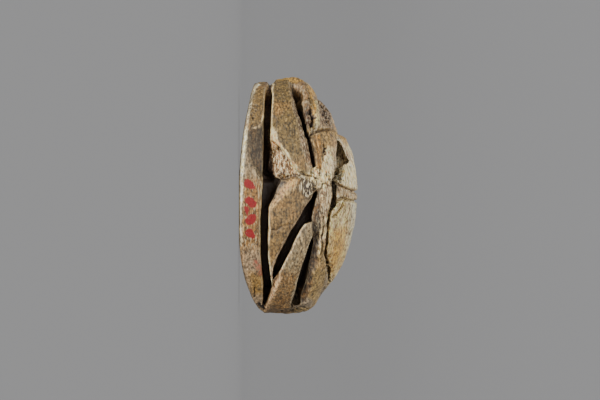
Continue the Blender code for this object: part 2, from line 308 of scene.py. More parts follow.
@dataclass(frozen=True)
class Slope:
    """A face that falls away inside an outline, from one place of the side view to another."""

    outline: Outline
    start: Point
    end: Point
    depths: Span
    soft: float = 0.3
    flank: Flank = Flank.BOTH

    def depth(self, places: np.ndarray, points: np.ndarray) -> np.ndarray:
        """Works out how deep the face lies.

        Args:
            places: X and Z in the side view, one row each.
            points: the same places in space; not used.

        Returns:
            The depth to cut at each place.
        """
        along = np.array(self.end) - np.array(self.start)
        share = np.clip((places - np.array(self.start)) @ along / (along @ along), 0, 1)
        return covered(places, self.outline, self.soft) * (
            self.depths[0] + (self.depths[1] - self.depths[0]) * share
        )


@dataclass(frozen=True)
class Hatching:
    """Chisel strokes side by side inside an outline, at an angle in degrees.

    Wander and the sizes of its cells are in pitches.
    """

    outline: Outline
    angle: float
    pitch: float
    deep: float
    seed: int
    flank: Flank = Flank.BOTH
    border: Span = (-0.05, 0.25)
    stretch: float = 4.0
    wander: float = 0.6
    wander_cell: float = 1.7
    least_strength: float = 0.2
    strength_cell: float = 3.0
    sharpness: float = 1.5

    def depth(self, places: np.ndarray, points: np.ndarray) -> np.ndarray:
        """Works out the strokes, which wander and fade here and there.

        Args:
            places: X and Z in the side view, one row each.
            points: the same places in space.

        Returns:
            The depth to cut at each place.
        """
        turn = math.radians(self.angle)
        across = places @ np.array([-math.sin(turn), math.cos(turn)])
        along = places @ np.array([math.cos(turn), math.sin(turn)])
        drawn = np.stack([across, along / self.stretch, points[:, 1]], axis=1)
        wander = noise(drawn, self.pitch * self.wander_cell, self.seed)
        strokes = np.sin(2 * math.pi * (across / self.pitch + wander * self.wander))
        swing = (1 - self.least_strength) / 2
        strength = 1 - swing + swing * noise(points, self.pitch * self.strength_cell, self.seed + 1)
        cover = eased(inside_by(places, self.outline), *self.border)
        return cover * strength * self.deep * (0.5 - 0.5 * strokes) ** self.sharpness


@dataclass(frozen=True)
class Crumbling:
    """Ragged loss of a share of the surface inside an outline."""

    outline: Outline
    cell: float
    deep: float
    share: float
    seed: int
    flank: Flank = Flank.BOTH
    border: Span = (-0.1, 0.15)
    fade: Span = (-0.15, 0.45)
    stretch: float = 3.0

    def depth(self, places: np.ndarray, points: np.ndarray) -> np.ndarray:
        """Works out what is lost, in crumbs that are longer along the stone.

        Args:
            places: X and Z in the side view, one row each.
            points: the same places in space.

        Returns:
            The depth to cut at each place.
        """
        rough = noise(points, (self.cell * self.stretch, self.cell, self.cell), self.seed)
        rough += noise(points, self.cell / 2, self.seed + 1) / 2
        cover = eased(inside_by(places, self.outline), *self.border)
        limit = 1 - 2 * self.share
        return cover * self.deep * eased(rough, limit + self.fade[0], limit + self.fade[1])


@dataclass(frozen=True)
class Stroke:
    """One cut along a path, or a ridge where its depth is negative."""

    path: Outline
    width: float
    deep: float
    ragged: float = 0.03
    seed: int = 1
    flank: Flank = Flank.PHOTOGRAPHED
    cell: float = 0.3

    def depth(self, places: np.ndarray, points: np.ndarray) -> np.ndarray:
        """Works out the cut, which is round at its bottom.

        Args:
            places: X and Z in the side view, one row each.
            points: the same places in space.

        Returns:
            The depth to cut at each place.
        """
        drawn = strayed(places, points, (Waves(self.ragged, self.cell, self.seed),))
        near = np.clip(1 - distance_to_path(drawn, self.path) / (self.width / 2), 0, 1)
        return self.deep * (1 - (1 - near) ** 2) ** 2


@dataclass(frozen=True)
class Chamfer:
    """A narrow rubbed face along an edge, or a low ridge, with the stone that shows there; some carry
    painted highlight, and one painted shade.
    """

    path: Outline
    width: float
    deep: float
    colour: str
    seed: int = 1
    ragged: float = 0.03
    flank: Flank = Flank.BOTH
    cell: float = 0.4
    middling: float = 0.8
    chipped: float = 0.4
    chip_cell: float = 0.55
    full_at: float = 0.45

    def nearness(self, places: np.ndarray, points: np.ndarray) -> np.ndarray:
        """Works out how near each place is to the edge, whose width changes along it.

        Args:
            places: X and Z in the side view, one row each.
            points: the same places in space.

        Returns:
            A share for each place, from 1 on the edge to 0 at the chamfer's width.
        """
        drawn = strayed(places, points, (Waves(self.ragged, self.cell, self.seed),))
        broken = self.middling + Waves(self.chipped, self.chip_cell, self.seed + 3).at(points)
        return np.clip(1 - distance_to_path(drawn, self.path) / (self.width * broken), 0, 1)

    def depth(self, places: np.ndarray, points: np.ndarray) -> np.ndarray:
        """Depth to cut at each place."""
        return self.deep * self.nearness(places, points)

    def showing(self, places: np.ndarray, points: np.ndarray) -> np.ndarray:
        """Share of its own colour that shows at each place."""
        return eased(self.nearness(places, points), 0.0, self.full_at)


@dataclass(frozen=True)
class Ragged:
    """A part whose edges stray from their lines, as broken edges do."""

    outline: Outline
    stray: float


@dataclass(frozen=True)
class Pits:
    """Small round holes, of three sizes up to a fifth over or under one radius."""

    centres: Outline
    radius: float
    deep: float
    flank: Flank = Flank.PHOTOGRAPHED
    sizes: tuple[float, ...] = (0.8, 1.0, 1.2)

    def depth(self, places: np.ndarray, points: np.ndarray) -> np.ndarray:
        """Works out the holes, the deepest where two meet.

        Args:
            places: X and Z in the side view, one row each.
            points: the same places in space; not used.

        Returns:
            The depth to cut at each place.
        """
        total = np.zeros(len(places))
        for number, centre in enumerate(self.centres):
            radius = self.radius * self.sizes[number % len(self.sizes)]
            far = np.sqrt(((places - np.array(centre)) ** 2).sum(axis=1)) / radius
            total = np.maximum(total, self.deep * np.clip(1 - far ** 2, 0, 1))
        return total


@dataclass(frozen=True)
class Blot:
    """Ink around a short path, as far as its reach."""

    path: Outline
    reach: float

    def inside_by(self, places: np.ndarray) -> np.ndarray:
        """How far inside the blot each place is, negative outside it."""
        return self.reach - distance_to_path(places, self.path)


@dataclass(frozen=True)
class Zone:
    """One part of the beetle in the side view.

    It has a colour. Rough says how flecked it is, clean how little soil and painted shade its hollows
    keep, and worn how pale its edges are rubbed.
    """

    colour: str
    outline: Outline
    soft: float = 0.2
    rough: float = 0.4
    clean: float = 0.0
    worn: float = 1.0
    flank: Flank = Flank.ROUND


# The parts of the plate and the beetle, as outlines in the side view
PLATE_TIP = (
    (-10.6, 1.2), (-10.6, 2.6), (-8.2, 2.4), (-6.66, 2.2), (-6.15, 1.9), (-5.7, 1.6), (-5.5, 0.2),
    (-7.2, -0.2), (-9, -0.2),
)
PLATE_HOLLOW = (
    (-5.6, 0.7), (-5.75, 1.6), (-6.5, 2.2), (-6.4, 3), (-1.3, 2.9), (-1.3, 2.1), (-2.2, 1.5), (-3.2, 0.8),
)
# The plate's lower rim on the flank towards -Y, pale from wear and with a painted highlight
PLATE_RIM_WEAR_AND_HIGHLIGHT = (
    (-9.5, 1.75), (-9, 1.42), (-8.4, 1.14), (-6.5, 0.83), (-4.8, 0.64), (-3, 0.46), (-0.5, 0.34),
    (1.7, 0.2), (4.2, 0.22), (4.2, -0.3), (-3, -0.3), (-7.8, 0.3), (-9.8, 1.2),
)
PLATE_MIDDLE = ((-1.6, -0.4), (-1.2, 2.3), (0.8, 2), (4.7, 2), (4.7, -0.4))
PLATE_TAIL = ((4.7, -0.4), (4.7, 2), (7, 2.2), (8.6, 2.2), (10.4, 2), (10.4, 0.4), (7, -0.4))
PLATE_TAIL_OCHRE = ((6.5, 0.8), (6.5, 2.1), (8.3, 2.2), (8.4, 1))
FORE_LEG = (
    (-10.4, 2.8), (-10.4, 4.1), (-9.1, 4.5), (-7.4, 5), (-5.8, 5.5), (-3.9, 6), (-2.2, 6.35), (-1.6, 6.2),
    (-1.85, 5.25), (-2.45, 4.65), (-3.5, 3.95), (-4.5, 3.25), (-5.8, 2.75), (-8.2, 2.75),
)
FORE_LEG_EDGE = (
    (-7.6, 2.6), (-7.2, 2.74), (-6, 2.82), (-5.2, 3.05), (-4.5, 3.25), (-4.1, 3.0), (-4.4, 2.5),
    (-6, 2.6),
)
FORE_LEG_SLOPE = (
    (-9.5, 4.25), (-8.4, 4.45), (-7.2, 4.6), (-6.6, 4.8), (-5.8, 5), (-4.3, 5.2), (-3.3, 5.55),
    (-2.5, 5.75), (-1.9, 6), (-1.7, 6.5), (-3.4, 6.3), (-5.2, 5.8), (-7, 5.3), (-9, 4.75),
)
RECESS = (
    (-5.3, 2.3), (-4.9, 2.95), (-4.4, 3.2), (-3.9, 3.6), (-3.05, 4.3), (-2, 5), (-1.7, 5.25),
    (-1.25, 4.55), (-1.3, 3.8), (-1.5, 3.1), (-2, 2.1),
)
KNEE = (
    (-1.6, 3.8), (-1.85, 5.25), (-1.7, 6.3), (-1.05, 7.05), (-0.4, 6.6), (0.4, 6), (0.1, 5.3),
    (-0.6, 4.9), (-1, 4.6),
)
KNEE_SPARKLE = ((-2.6, 6.5), (-2.4, 7.6), (-1.1, 7.9), (-0.6, 7.3), (-0.9, 6.7), (-1.6, 5.6), (-2, 6))
MID_LEG = (
    (0.7, 2.3), (0.05, 3.55), (-0.4, 4.2), (-0.6, 4.9), (0.1, 5.4), (1.1, 5.6), (2.9, 4.5), (4.4, 3.7),
    (5.7, 3.1), (7.3, 2.8), (6, 2.3), (2.5, 2.2),
)
# The mid leg's top ridge: a dark zone of painted shade on its shaded side
MID_TOP_PAINTED_SHADE = (
    (-1.6, 3.5), (-1.07, 3.2), (-0.2, 2.7), (0.56, 2.4), (1.05, 2.2), (1.02, 2.45), (0.5, 2.95),
    (0, 3.25), (-0.7, 3.75), (-1.5, 4.3),
)
# and a pale zone of painted highlight on its lit side, which is also cut as a slope
MID_TOP_HIGHLIGHT_BAND = (
    (-1.6, 3.7), (-1.07, 3.45), (-0.2, 3), (0.56, 2.65), (1.05, 2.4), (1.05, 2.75), (0.47, 3.35),
    (0.17, 3.61), (-0.33, 4.06), (-0.8, 4.7), (-1.2, 5), (-1.6, 4.5),
)
HIND_LEG = (
    (2.2, 5.5), (2.2, 6.3), (3.2, 6.6), (4.7, 5.8), (6.5, 5.2), (8.5, 4.6), (10.4, 4.4), (10.4, 1.9),
    (8.1, 2.6), (6.4, 3.4), (4.8, 4.3), (3.4, 5),
)
HIND_FOOT = ((6.2, 3.6), (6.6, 5.1), (8.5, 4.6), (10.4, 4.4), (10.4, 1.9), (8.1, 2.6))
HIND_FOOT_BEVEL = (
    (6.4, 3.4), (6.9, 3.1), (7.6, 2.8), (8.4, 2.55), (9.6, 2), (9.7, 2.46), (9, 2.75), (8.4, 3),
    (7.7, 3.25), (6.9, 3.55),
)
TAIL_STRIP = (
    (3.6, 6.5), (3.8, 7.5), (5.7, 7.5), (7.4, 7.2), (9.2, 6.7), (10.4, 5.3), (10.4, 4.4), (9.2, 5.1),
    (7.3, 5.7), (5.2, 6.2),
)
SLOT_END = ((8.2, 4.5), (8.2, 5.6), (9.5, 5.5), (9.6, 4.5))
TAIL_PALE = ((8.8, 5.2), (8.6, 5.8), (8.9, 6.3), (9.4, 6.2), (9.5, 5.5), (9.2, 5.1))
SIDE_STRIP = ((-0.9, 6.4), (-1.3, 7.9), (0.8, 7.75), (2.5, 7.5), (3.85, 7.4), (3.85, 6.4), (1.7, 6.35))
# The side strip's lower face, which slopes away, dark with painted shade
STRIP_PAINTED_SHADE_FACE = ((-0.7, 6.3), (-0.6, 6.9), (1.8, 6.95), (3.9, 7), (3.9, 6.3), (1.7, 6.2))
SIDE_PANEL = (
    (-5, 6), (-5.5, 7.3), (-5.5, 8.5), (-4.3, 8.4), (-3, 8.2), (-1.2, 8), (-0.8, 6.6), (-3, 6.8),
    (-3.9, 6.45),
)
PANEL_STREAKS = ((-4, 7.3), (-4, 8), (-2.6, 8), (-1, 7.8), (-1.2, 7.1), (-2.6, 7))
RIDGE_STRIP = ((-5, 6.3), (-5.1, 6.9), (-3.5, 7.1), (-2.2, 7), (-2.2, 6.6), (-3.7, 6.45))
HEAD_BAND = ((-9.6, 4.4), (-9.6, 5.8), (-8.2, 6.5), (-5.6, 6.8), (-5, 6), (-6.5, 5.55), (-8.4, 4.85))
HEAD_BAND_FOOT = (
    (-10, 4.5), (-9.8, 5.3), (-8.2, 5.95), (-6.3, 6.35), (-5.6, 6.1), (-7, 5.3), (-8.6, 4.7),
)
HEAD_TOP = ((-10.4, 5.5), (-10.2, 7), (-8, 7.8), (-5.5, 8.9), (-5.4, 6.8), (-8.2, 6.45))
HEAD_GAP_TOP = ((-10.6, 4.2), (-10.6, 5.6), (-8.2, 5.9), (-7.4, 5.9), (-7.6, 5.4), (-8.6, 5), (-9.4, 4.5))
HEAD_OCHRE = ((-9.4, 5.9), (-9.3, 6.5), (-7.8, 6.7), (-6.1, 6.75), (-6.1, 6.35), (-7.8, 6.3))
HEAD_FACET = ((-8.4, 6.4), (-5.9, 6.75), (-5.7, 7.9), (-6.6, 7.5), (-7.6, 6.95), (-8.6, 6.7))
PLATE_NOSE = ((-10.8, -0.4), (-10.8, 3.1), (-9, 3.1), (-9, -0.4))
HEAD_CROWN = ((-10.8, 5.6), (-10.8, 8.4), (-7.5, 8.4), (-7.5, 6.6), (-9, 5.6))
HEAD_SLOPE = ((-7.2, 7.9), (-7.2, 10.8), (-5.5, 10.8), (-5.5, 7.9))
NECK_SLOPE = ((-5.5, 8.2), (-5.5, 10.8), (-4.8, 10.8), (-4.8, 8.6))
HEAD_PITTED = ((-8.2, 6.8), (-6, 7), (-5.8, 8.1), (-6.8, 7.9), (-7.9, 7.5))
PRONOTUM = ((-5.5, 8.4), (-5.5, 10.6), (-0.4, 10.6), (-0.6, 9.3), (-1.2, 8.2), (-2.4, 8.75), (-3.5, 9.05))
PRONOTUM_CORNER = ((-5.5, 8.3), (-5.5, 9.4), (-4.6, 9.6), (-4, 9.2), (-4.2, 8.8), (-4.8, 8.4))
BACK_HOLLOW = (
    (-4.9, 8.3), (-4.2, 8.7), (-3.5, 9.05), (-2.85, 9.35), (-2.5, 8.9), (-1.2, 8.7), (-1.2, 7.95),
    (-2.5, 8.1),
)
BACK_HOLLOW_LOW = ((-2.9, 7.9), (-2.8, 8.9), (-2.2, 8.9), (-1.2, 8.6), (-1.2, 8.05))
BAND = ((-1.25, 8.1), (-0.7, 9.1), (-0.5, 10.6), (0.6, 10.6), (0.25, 9.1), (0.45, 8.2), (0.4, 7.8))
WING_CASE = (
    (0.45, 8.2), (0.25, 9.1), (0.6, 10.6), (9.9, 10.6), (9.9, 8), (7.6, 8), (7.4, 7.65), (5.7, 7.5),
    (3.8, 7.4), (1.7, 7.55),
)
WING_CASE_RUBBED = ((2.9, 7.9), (2.6, 9.1), (4.6, 9), (6.2, 8.3), (6.6, 7.8), (5, 7.7))
WING_CASE_GREY = ((0.6, 9.5), (0.6, 10.6), (5, 10.6), (4.8, 9.2), (3, 9.35))
WING_EDGE = ((4.9, 7.2), (4.9, 7.8), (6.5, 8), (8.2, 8), (8.2, 7.2), (6.6, 7.4))
LIP = ((-10.6, 3.3), (-10.6, 5.6), (-9.75, 5.6), (-9.72, 5), (-9.7, 3.9), (-9.75, 3.3))
SLOT_TOP = (
    (-10.6, 2.25), (-10.6, 2.72), (-8.2, 2.72), (-5, 2.66), (-3, 2.9), (-1.6, 3.2), (-1.4, 2.3),
    (-2.6, 2.15), (-4, 2.2), (-6.5, 2.25),
)
TAIL_END = ((8.9, 3.4), (10.6, 3.2), (10.6, 6.6), (9.4, 6.6), (9.6, 5))
HEAD_GAP = (
    (-10.3, 4), (-10.3, 5.6), (-8, 6), (-5, 6.3), (-2.2, 6.6), (-2.2, 5.8), (-5.2, 5.3), (-8.4, 4.3),
)
WING_GAP = ((-1.4, 7.7), (-1.4, 8.3), (0.9, 8.1), (3, 7.8), (8, 8), (8, 7.2), (3, 7.1), (0.8, 7.5))

# The state of the stone, part by part, and in a few zones painted highlight and painted shade. A later
# zone lies over an earlier one
ZONES = (
    Zone("775d33", PLATE_TIP, soft=0.5, rough=0.3),
    Zone("825c2a", PLATE_MIDDLE, soft=1.6, rough=0.6),
    Zone("a28664", PLATE_TAIL, soft=1.6, rough=0.35),
    Zone("8c6a32", PLATE_TAIL_OCHRE, soft=0.8, rough=0.3),
    Zone("45351f", PLATE_HOLLOW, soft=0.6, rough=0.25),
    # Pale rubbed rim with a painted highlight, on the flank towards -Y only
    Zone("fcf0c4", PLATE_RIM_WEAR_AND_HIGHLIGHT, soft=0.25, rough=0.8, flank=Flank.PHOTOGRAPHED),
    Zone("9e7442", RECESS, soft=0.4, rough=1.0, clean=0.8),
    Zone("6d572f", FORE_LEG, rough=0.3, worn=0.6),
    Zone("dcb47c", FORE_LEG_EDGE, soft=0.3, rough=0.6, clean=0.5),
    Zone("7e6448", FORE_LEG_SLOPE, soft=0.3, rough=0.7),
    Zone("4a3614", KNEE, soft=0.7, rough=0.9),
    Zone("765b32", MID_LEG, soft=0.4, rough=0.25),
    # Painted highlight and painted shade on the two sides of the mid leg's top ridge
    Zone("c69858", MID_TOP_HIGHLIGHT_BAND, soft=0.8, rough=0.5),
    Zone("54412e", MID_TOP_PAINTED_SHADE, soft=0.5, clean=0.35),
    Zone("8a7450", HIND_LEG, rough=0.45),
    Zone("7a5c34", HIND_FOOT, soft=0.8, rough=0.35),
    Zone("c49a6a", HIND_FOOT_BEVEL, soft=0.5, rough=0.6),
    Zone("987c4a", TAIL_STRIP, rough=0.35),
    Zone("958268", TAIL_PALE, soft=0.4, rough=0.4),
    Zone("7a6850", SLOT_END, soft=0.4, clean=0.8),
    Zone("bd9f70", SIDE_STRIP, soft=0.4, rough=1.0),
    # Painted shade on the side strip's lower face
    Zone("382a14", STRIP_PAINTED_SHADE_FACE, soft=0.3, rough=0.5),
    Zone("9a7a45", SIDE_PANEL, soft=0.4, rough=0.3),
    Zone("e2c890", PANEL_STREAKS, soft=0.6, rough=0.9),
    Zone("ecd090", KNEE_SPARKLE, soft=0.6, rough=1.0),
    Zone("8f6526", RIDGE_STRIP, rough=0.3),
    Zone("6c5424", HEAD_BAND, soft=0.5, rough=0.6, worn=0.2),
    Zone("4a2e14", HEAD_BAND_FOOT, soft=0.4, rough=0.5, clean=0.3, worn=0.1),
    Zone("7e5e38", HEAD_GAP_TOP, soft=0.4, rough=0.4, clean=0.9, flank=Flank.PHOTOGRAPHED),
    Zone("92703e", HEAD_TOP, soft=0.6, rough=0.6),
    Zone("c4923c", HEAD_OCHRE, soft=0.3, rough=0.4),
    Zone("9c805c", HEAD_FACET, soft=0.4, rough=0.4, worn=0.4),
    Zone("745838", HEAD_PITTED, soft=0.4, rough=0.75),
    Zone("f4dfa6", PRONOTUM, rough=0.95),
    Zone("b8904c", PRONOTUM_CORNER, soft=0.8, rough=0.4),
    Zone("c0b494", BACK_HOLLOW, soft=0.1, rough=1.0, clean=0.9),
    Zone("ecdcb8", BACK_HOLLOW_LOW, soft=0.3, rough=1.0, clean=1.0),
    Zone("ae8c58", BAND, rough=1.0),
    Zone("c9ae70", WING_CASE, rough=0.85),
    Zone("bd9140", WING_CASE_RUBBED, soft=1.0, rough=0.3),
    Zone("c8bc98", WING_CASE_GREY, soft=0.6, rough=0.9),
    Zone("a07c38", LIP, soft=0.1, rough=0.1, clean=0.2, worn=0.0, flank=Flank.PHOTOGRAPHED),
    Zone("5c4030", SLOT_TOP, soft=0.1, clean=0.7),
)

# Faces that fall away from what is round them
SLOPES = (
    Slope(PLATE_HOLLOW, (-3.5, 1.0), (-3.3, 2.4), (0.0, 0.5), soft=0.5),
    Slope(FORE_LEG_SLOPE, (-5.2, 5), (-5.4, 5.7), (0.0, 0.4), soft=0.12),
    Slope(RECESS, (-3.6, 4.1), (-3, 2.3), (0.0, 0.5), soft=0.3),
    Slope(MID_TOP_HIGHLIGHT_BAND, (-0.2, 3.9), (-0.55, 3.2), (0.0, 0.4), soft=0.4),
    Slope(HIND_FOOT_BEVEL, (8.1, 3.1), (7.9, 2.7), (0.0, 0.4), soft=0.4),
    Slope(HEAD_BAND, (-7.4, 6.2), (-7.1, 5.4), (0.0, 0.45), soft=0.3),
    Slope(SIDE_PANEL, (-3, 7.9), (-2.9, 6.9), (0.0, 0.12), soft=0.3),
    Slope(STRIP_PAINTED_SHADE_FACE, (1, 7), (1, 6.3), (0.0, 0.3), soft=0.15),
    Slope(FORE_LEG_EDGE, (-5.5, 2.9), (-4.5, 2.9), (0.0, 0.3), soft=0.2),
    Slope(PLATE_NOSE, (-8.9, 1), (-9.7, 1), (0.0, 0.26), soft=0.2, flank=Flank.ROUND),
    Slope(HEAD_CROWN, (-7.6, 6), (-8.2, 6), (0.0, 0.12), soft=0.3, flank=Flank.ROUND),
    Slope(HEAD_SLOPE, (-7.2, 9), (-5.5, 9), (0.0, 0.22), soft=0.1, flank=Flank.ROUND),
    Slope(NECK_SLOPE, (-4.8, 9), (-5.5, 9), (0.0, 0.4), soft=0.1, flank=Flank.ROUND),
)

# Tool marks, by their angle, pitch and depth
HATCHINGS = (
    Hatching(RECESS, 36, 0.21, 0.2, seed=11),
    Hatching(PLATE_HOLLOW, 3, 0.3, 0.04, seed=12),
    Hatching(FORE_LEG_SLOPE, 27, 0.22, 0.08, seed=14),
    Hatching(HIND_LEG, -24, 0.32, 0.035, seed=15),
    Hatching(HEAD_TOP, 14, 0.3, 0.05, seed=16),
    Hatching(SIDE_PANEL, 2, 0.26, 0.06, seed=13),
    Hatching(SIDE_STRIP, 2, 0.22, 0.08, seed=17),
    Hatching(HEAD_BAND, 14, 0.28, 0.12, seed=19),
    Hatching(PRONOTUM, -3, 0.3, 0.03, seed=20),
    Hatching(WING_CASE, -4, 0.3, 0.035, seed=21),
)

# Lost surface, by the size of the crumbs, the depth and the share that is lost
CRUMBLINGS = (
    Crumbling(HEAD_BAND, 0.2, 0.22, 0.3, seed=23),
    Crumbling(HEAD_PITTED, 0.22, 0.4, 0.34, seed=29),
    Crumbling(RECESS, 0.16, 0.12, 0.25, seed=31),
    Crumbling(BACK_HOLLOW, 0.26, 0.5, 0.4, seed=37),
    Crumbling(KNEE_SPARKLE, 0.15, 0.2, 0.32, seed=39),
    Crumbling(TAIL_END, 0.24, 0.14, 0.3, seed=41, flank=Flank.PHOTOGRAPHED),
    Crumbling(WING_EDGE, 0.2, 0.3, 0.4, seed=43),
)

# Rubbed edges and low ridges, by their width, depth and colour; some colours are painted highlight, and
# one is painted shade
CHAMFERS = (
    Chamfer(((-9.76, 2.45), (-8.2, 2.24), (-7.35, 2.17), (-6.66, 2.13)), 0.1, 0.06, "b0946a", seed=2),
    Chamfer(
        ((-6.66, 2.13), (-6.15, 1.89), (-5.76, 1.65), (-5.55, 1.29)),
        0.13, 0.02, "c4a878", seed=3, ragged=0.06,
    ),
    Chamfer(
        ((-1.5, 1.98), (-0.5, 1.98), (0.8, 1.89), (2.8, 1.83), (4.6, 1.87)),
        0.11, 0.08, "ccb684", seed=4, ragged=0.05,
    ),
    Chamfer(((-9.9, 2.93), (-8.2, 2.82), (-6.5, 2.75), (-6, 2.78)), 0.08, 0.12, "e4ca92", seed=5),
    Chamfer(((-6, 2.78), (-5.3, 2.7), (-4.4, 2.64)), 0.18, 0.12, "dcb47c", seed=6),
    Chamfer(
        ((-6, 2.78), (-5.3, 3.03), (-4.6, 3.27), (-4, 3.57), (-3.5, 3.91), (-3, 4.3), (-2.4, 4.68),
         (-2, 5)),
        0.26, 0.12, "ecd096", seed=8, ragged=0.07,
    ),
    Chamfer(
        ((-9.5, 4.23), (-8.4, 4.43), (-7.2, 4.61), (-6.6, 4.79), (-5.8, 5), (-4.3, 5.2), (-3.3, 5.54),
         (-2, 6)),
        0.09, 0.02, "9c8256", seed=9, ragged=0.08,
    ),
    # A tint-only pale line of painted highlight along the mid leg's top ridge
    Chamfer(
        ((-0.8, 4.8), (-0.33, 4.06), (0.2, 3.57), (0.64, 3.18), (1, 2.7)),
        0.14, 0.0, "c8a468", seed=10,
    ),
    Chamfer(
        ((1, 2.56), (2.1, 2.5), (2.6, 2.58), (3.8, 2.47), (4.7, 2.5), (6, 2.62), (6.9, 2.8)),
        0.09, 0.14, "ecd4a0", seed=12,
    ),
    Chamfer(
        ((-0.4, 6.6), (0.3, 6.1), (1.2, 5.5), (2, 5.05), (2.9, 4.47), (4.4, 3.7), (5.7, 3.1),
         (6.5, 2.84)),
        0.25, 0.2, "a2886a", seed=14,
    ),
    # A rubbed bevel on the hind leg's lower edge, pale from wear and from a painted highlight
    Chamfer(
        ((2.4, 5.57), (3.2, 5.05), (3.8, 4.73), (4.5, 4.45), (5.6, 3.87), (6.2, 3.6), (6.6, 3.45)),
        0.12, 0.12, "e4c898", seed=16,
    ),
    Chamfer(
        ((3.2, 6.36), (4.2, 5.93), (5.5, 5.5), (6.7, 5.15), (7.8, 4.83), (8.6, 4.53), (9.6, 4.4)),
        0.13, 0.12, "ac9878", seed=18,
    ),
    # A wide sloping cut beside the tail's slot, its dark colour painted shade
    Chamfer(
        ((3.5, 6.7), (4.7, 6.45), (5.7, 6.25), (6.7, 6), (7.9, 5.75), (8.8, 5.4)),
        0.6, 0.5, "4a3824", seed=20,
    ),
    # A low ridge whose pale colour is a painted highlight
    Chamfer(((-5.1, 6.58), (-4.3, 6.71), (-3.6, 6.84), (-2.9, 6.92)), 0.12, -0.03, "b88c50", seed=22),
    Chamfer(
        ((-4.86, 8.34), (-3.9, 8.25), (-3, 8.2), (-2.2, 8.06), (-1, 7.77)),
        0.2, -0.04, "9c8560", seed=24,
    ),
    # A raised ridge on the head's band, pale with a painted highlight
    Chamfer(((-7.9, 6.53), (-7.2, 6.6), (-6.5, 6.64), (-5.9, 6.65)), 0.24, -0.14, "b8a36c", seed=26),
    Chamfer(((-7.8, 7.57), (-7.2, 7.82), (-6.4, 8.13), (-5.8, 8.34)), 0.16, 0.0, "d0a262", seed=28),
    Chamfer(
        ((-4.7, 8.46), (-4.4, 8.68), (-4, 8.9), (-3.5, 9.1), (-3, 9.36)),
        0.14, 0.04, "c9b996", seed=30, ragged=0.08,
    ),
    Chamfer(((-1, 8.2), (-0.6, 8.15), (-0.2, 8.2), (0.2, 8.34)), 0.16, -0.03, "d8c8a0", seed=32),
    Chamfer(((1.7, 7.0), (3, 6.95), (3.9, 6.9), (4.9, 6.8)), 0.08, -0.03, "dcc088", seed=34),
    Chamfer(((1.5, 7.33), (3, 7.28), (4.4, 7.2)), 0.08, -0.03, "dcc088", seed=36),
)

# Broken edges, by how far they stray
RAGGED_PARTS = (
    Ragged(HEAD_GAP, 0.15),
    Ragged(BACK_HOLLOW, 0.12),
    Ragged(WING_GAP, 0.07),
    Ragged(TAIL_END, 0.08),
)

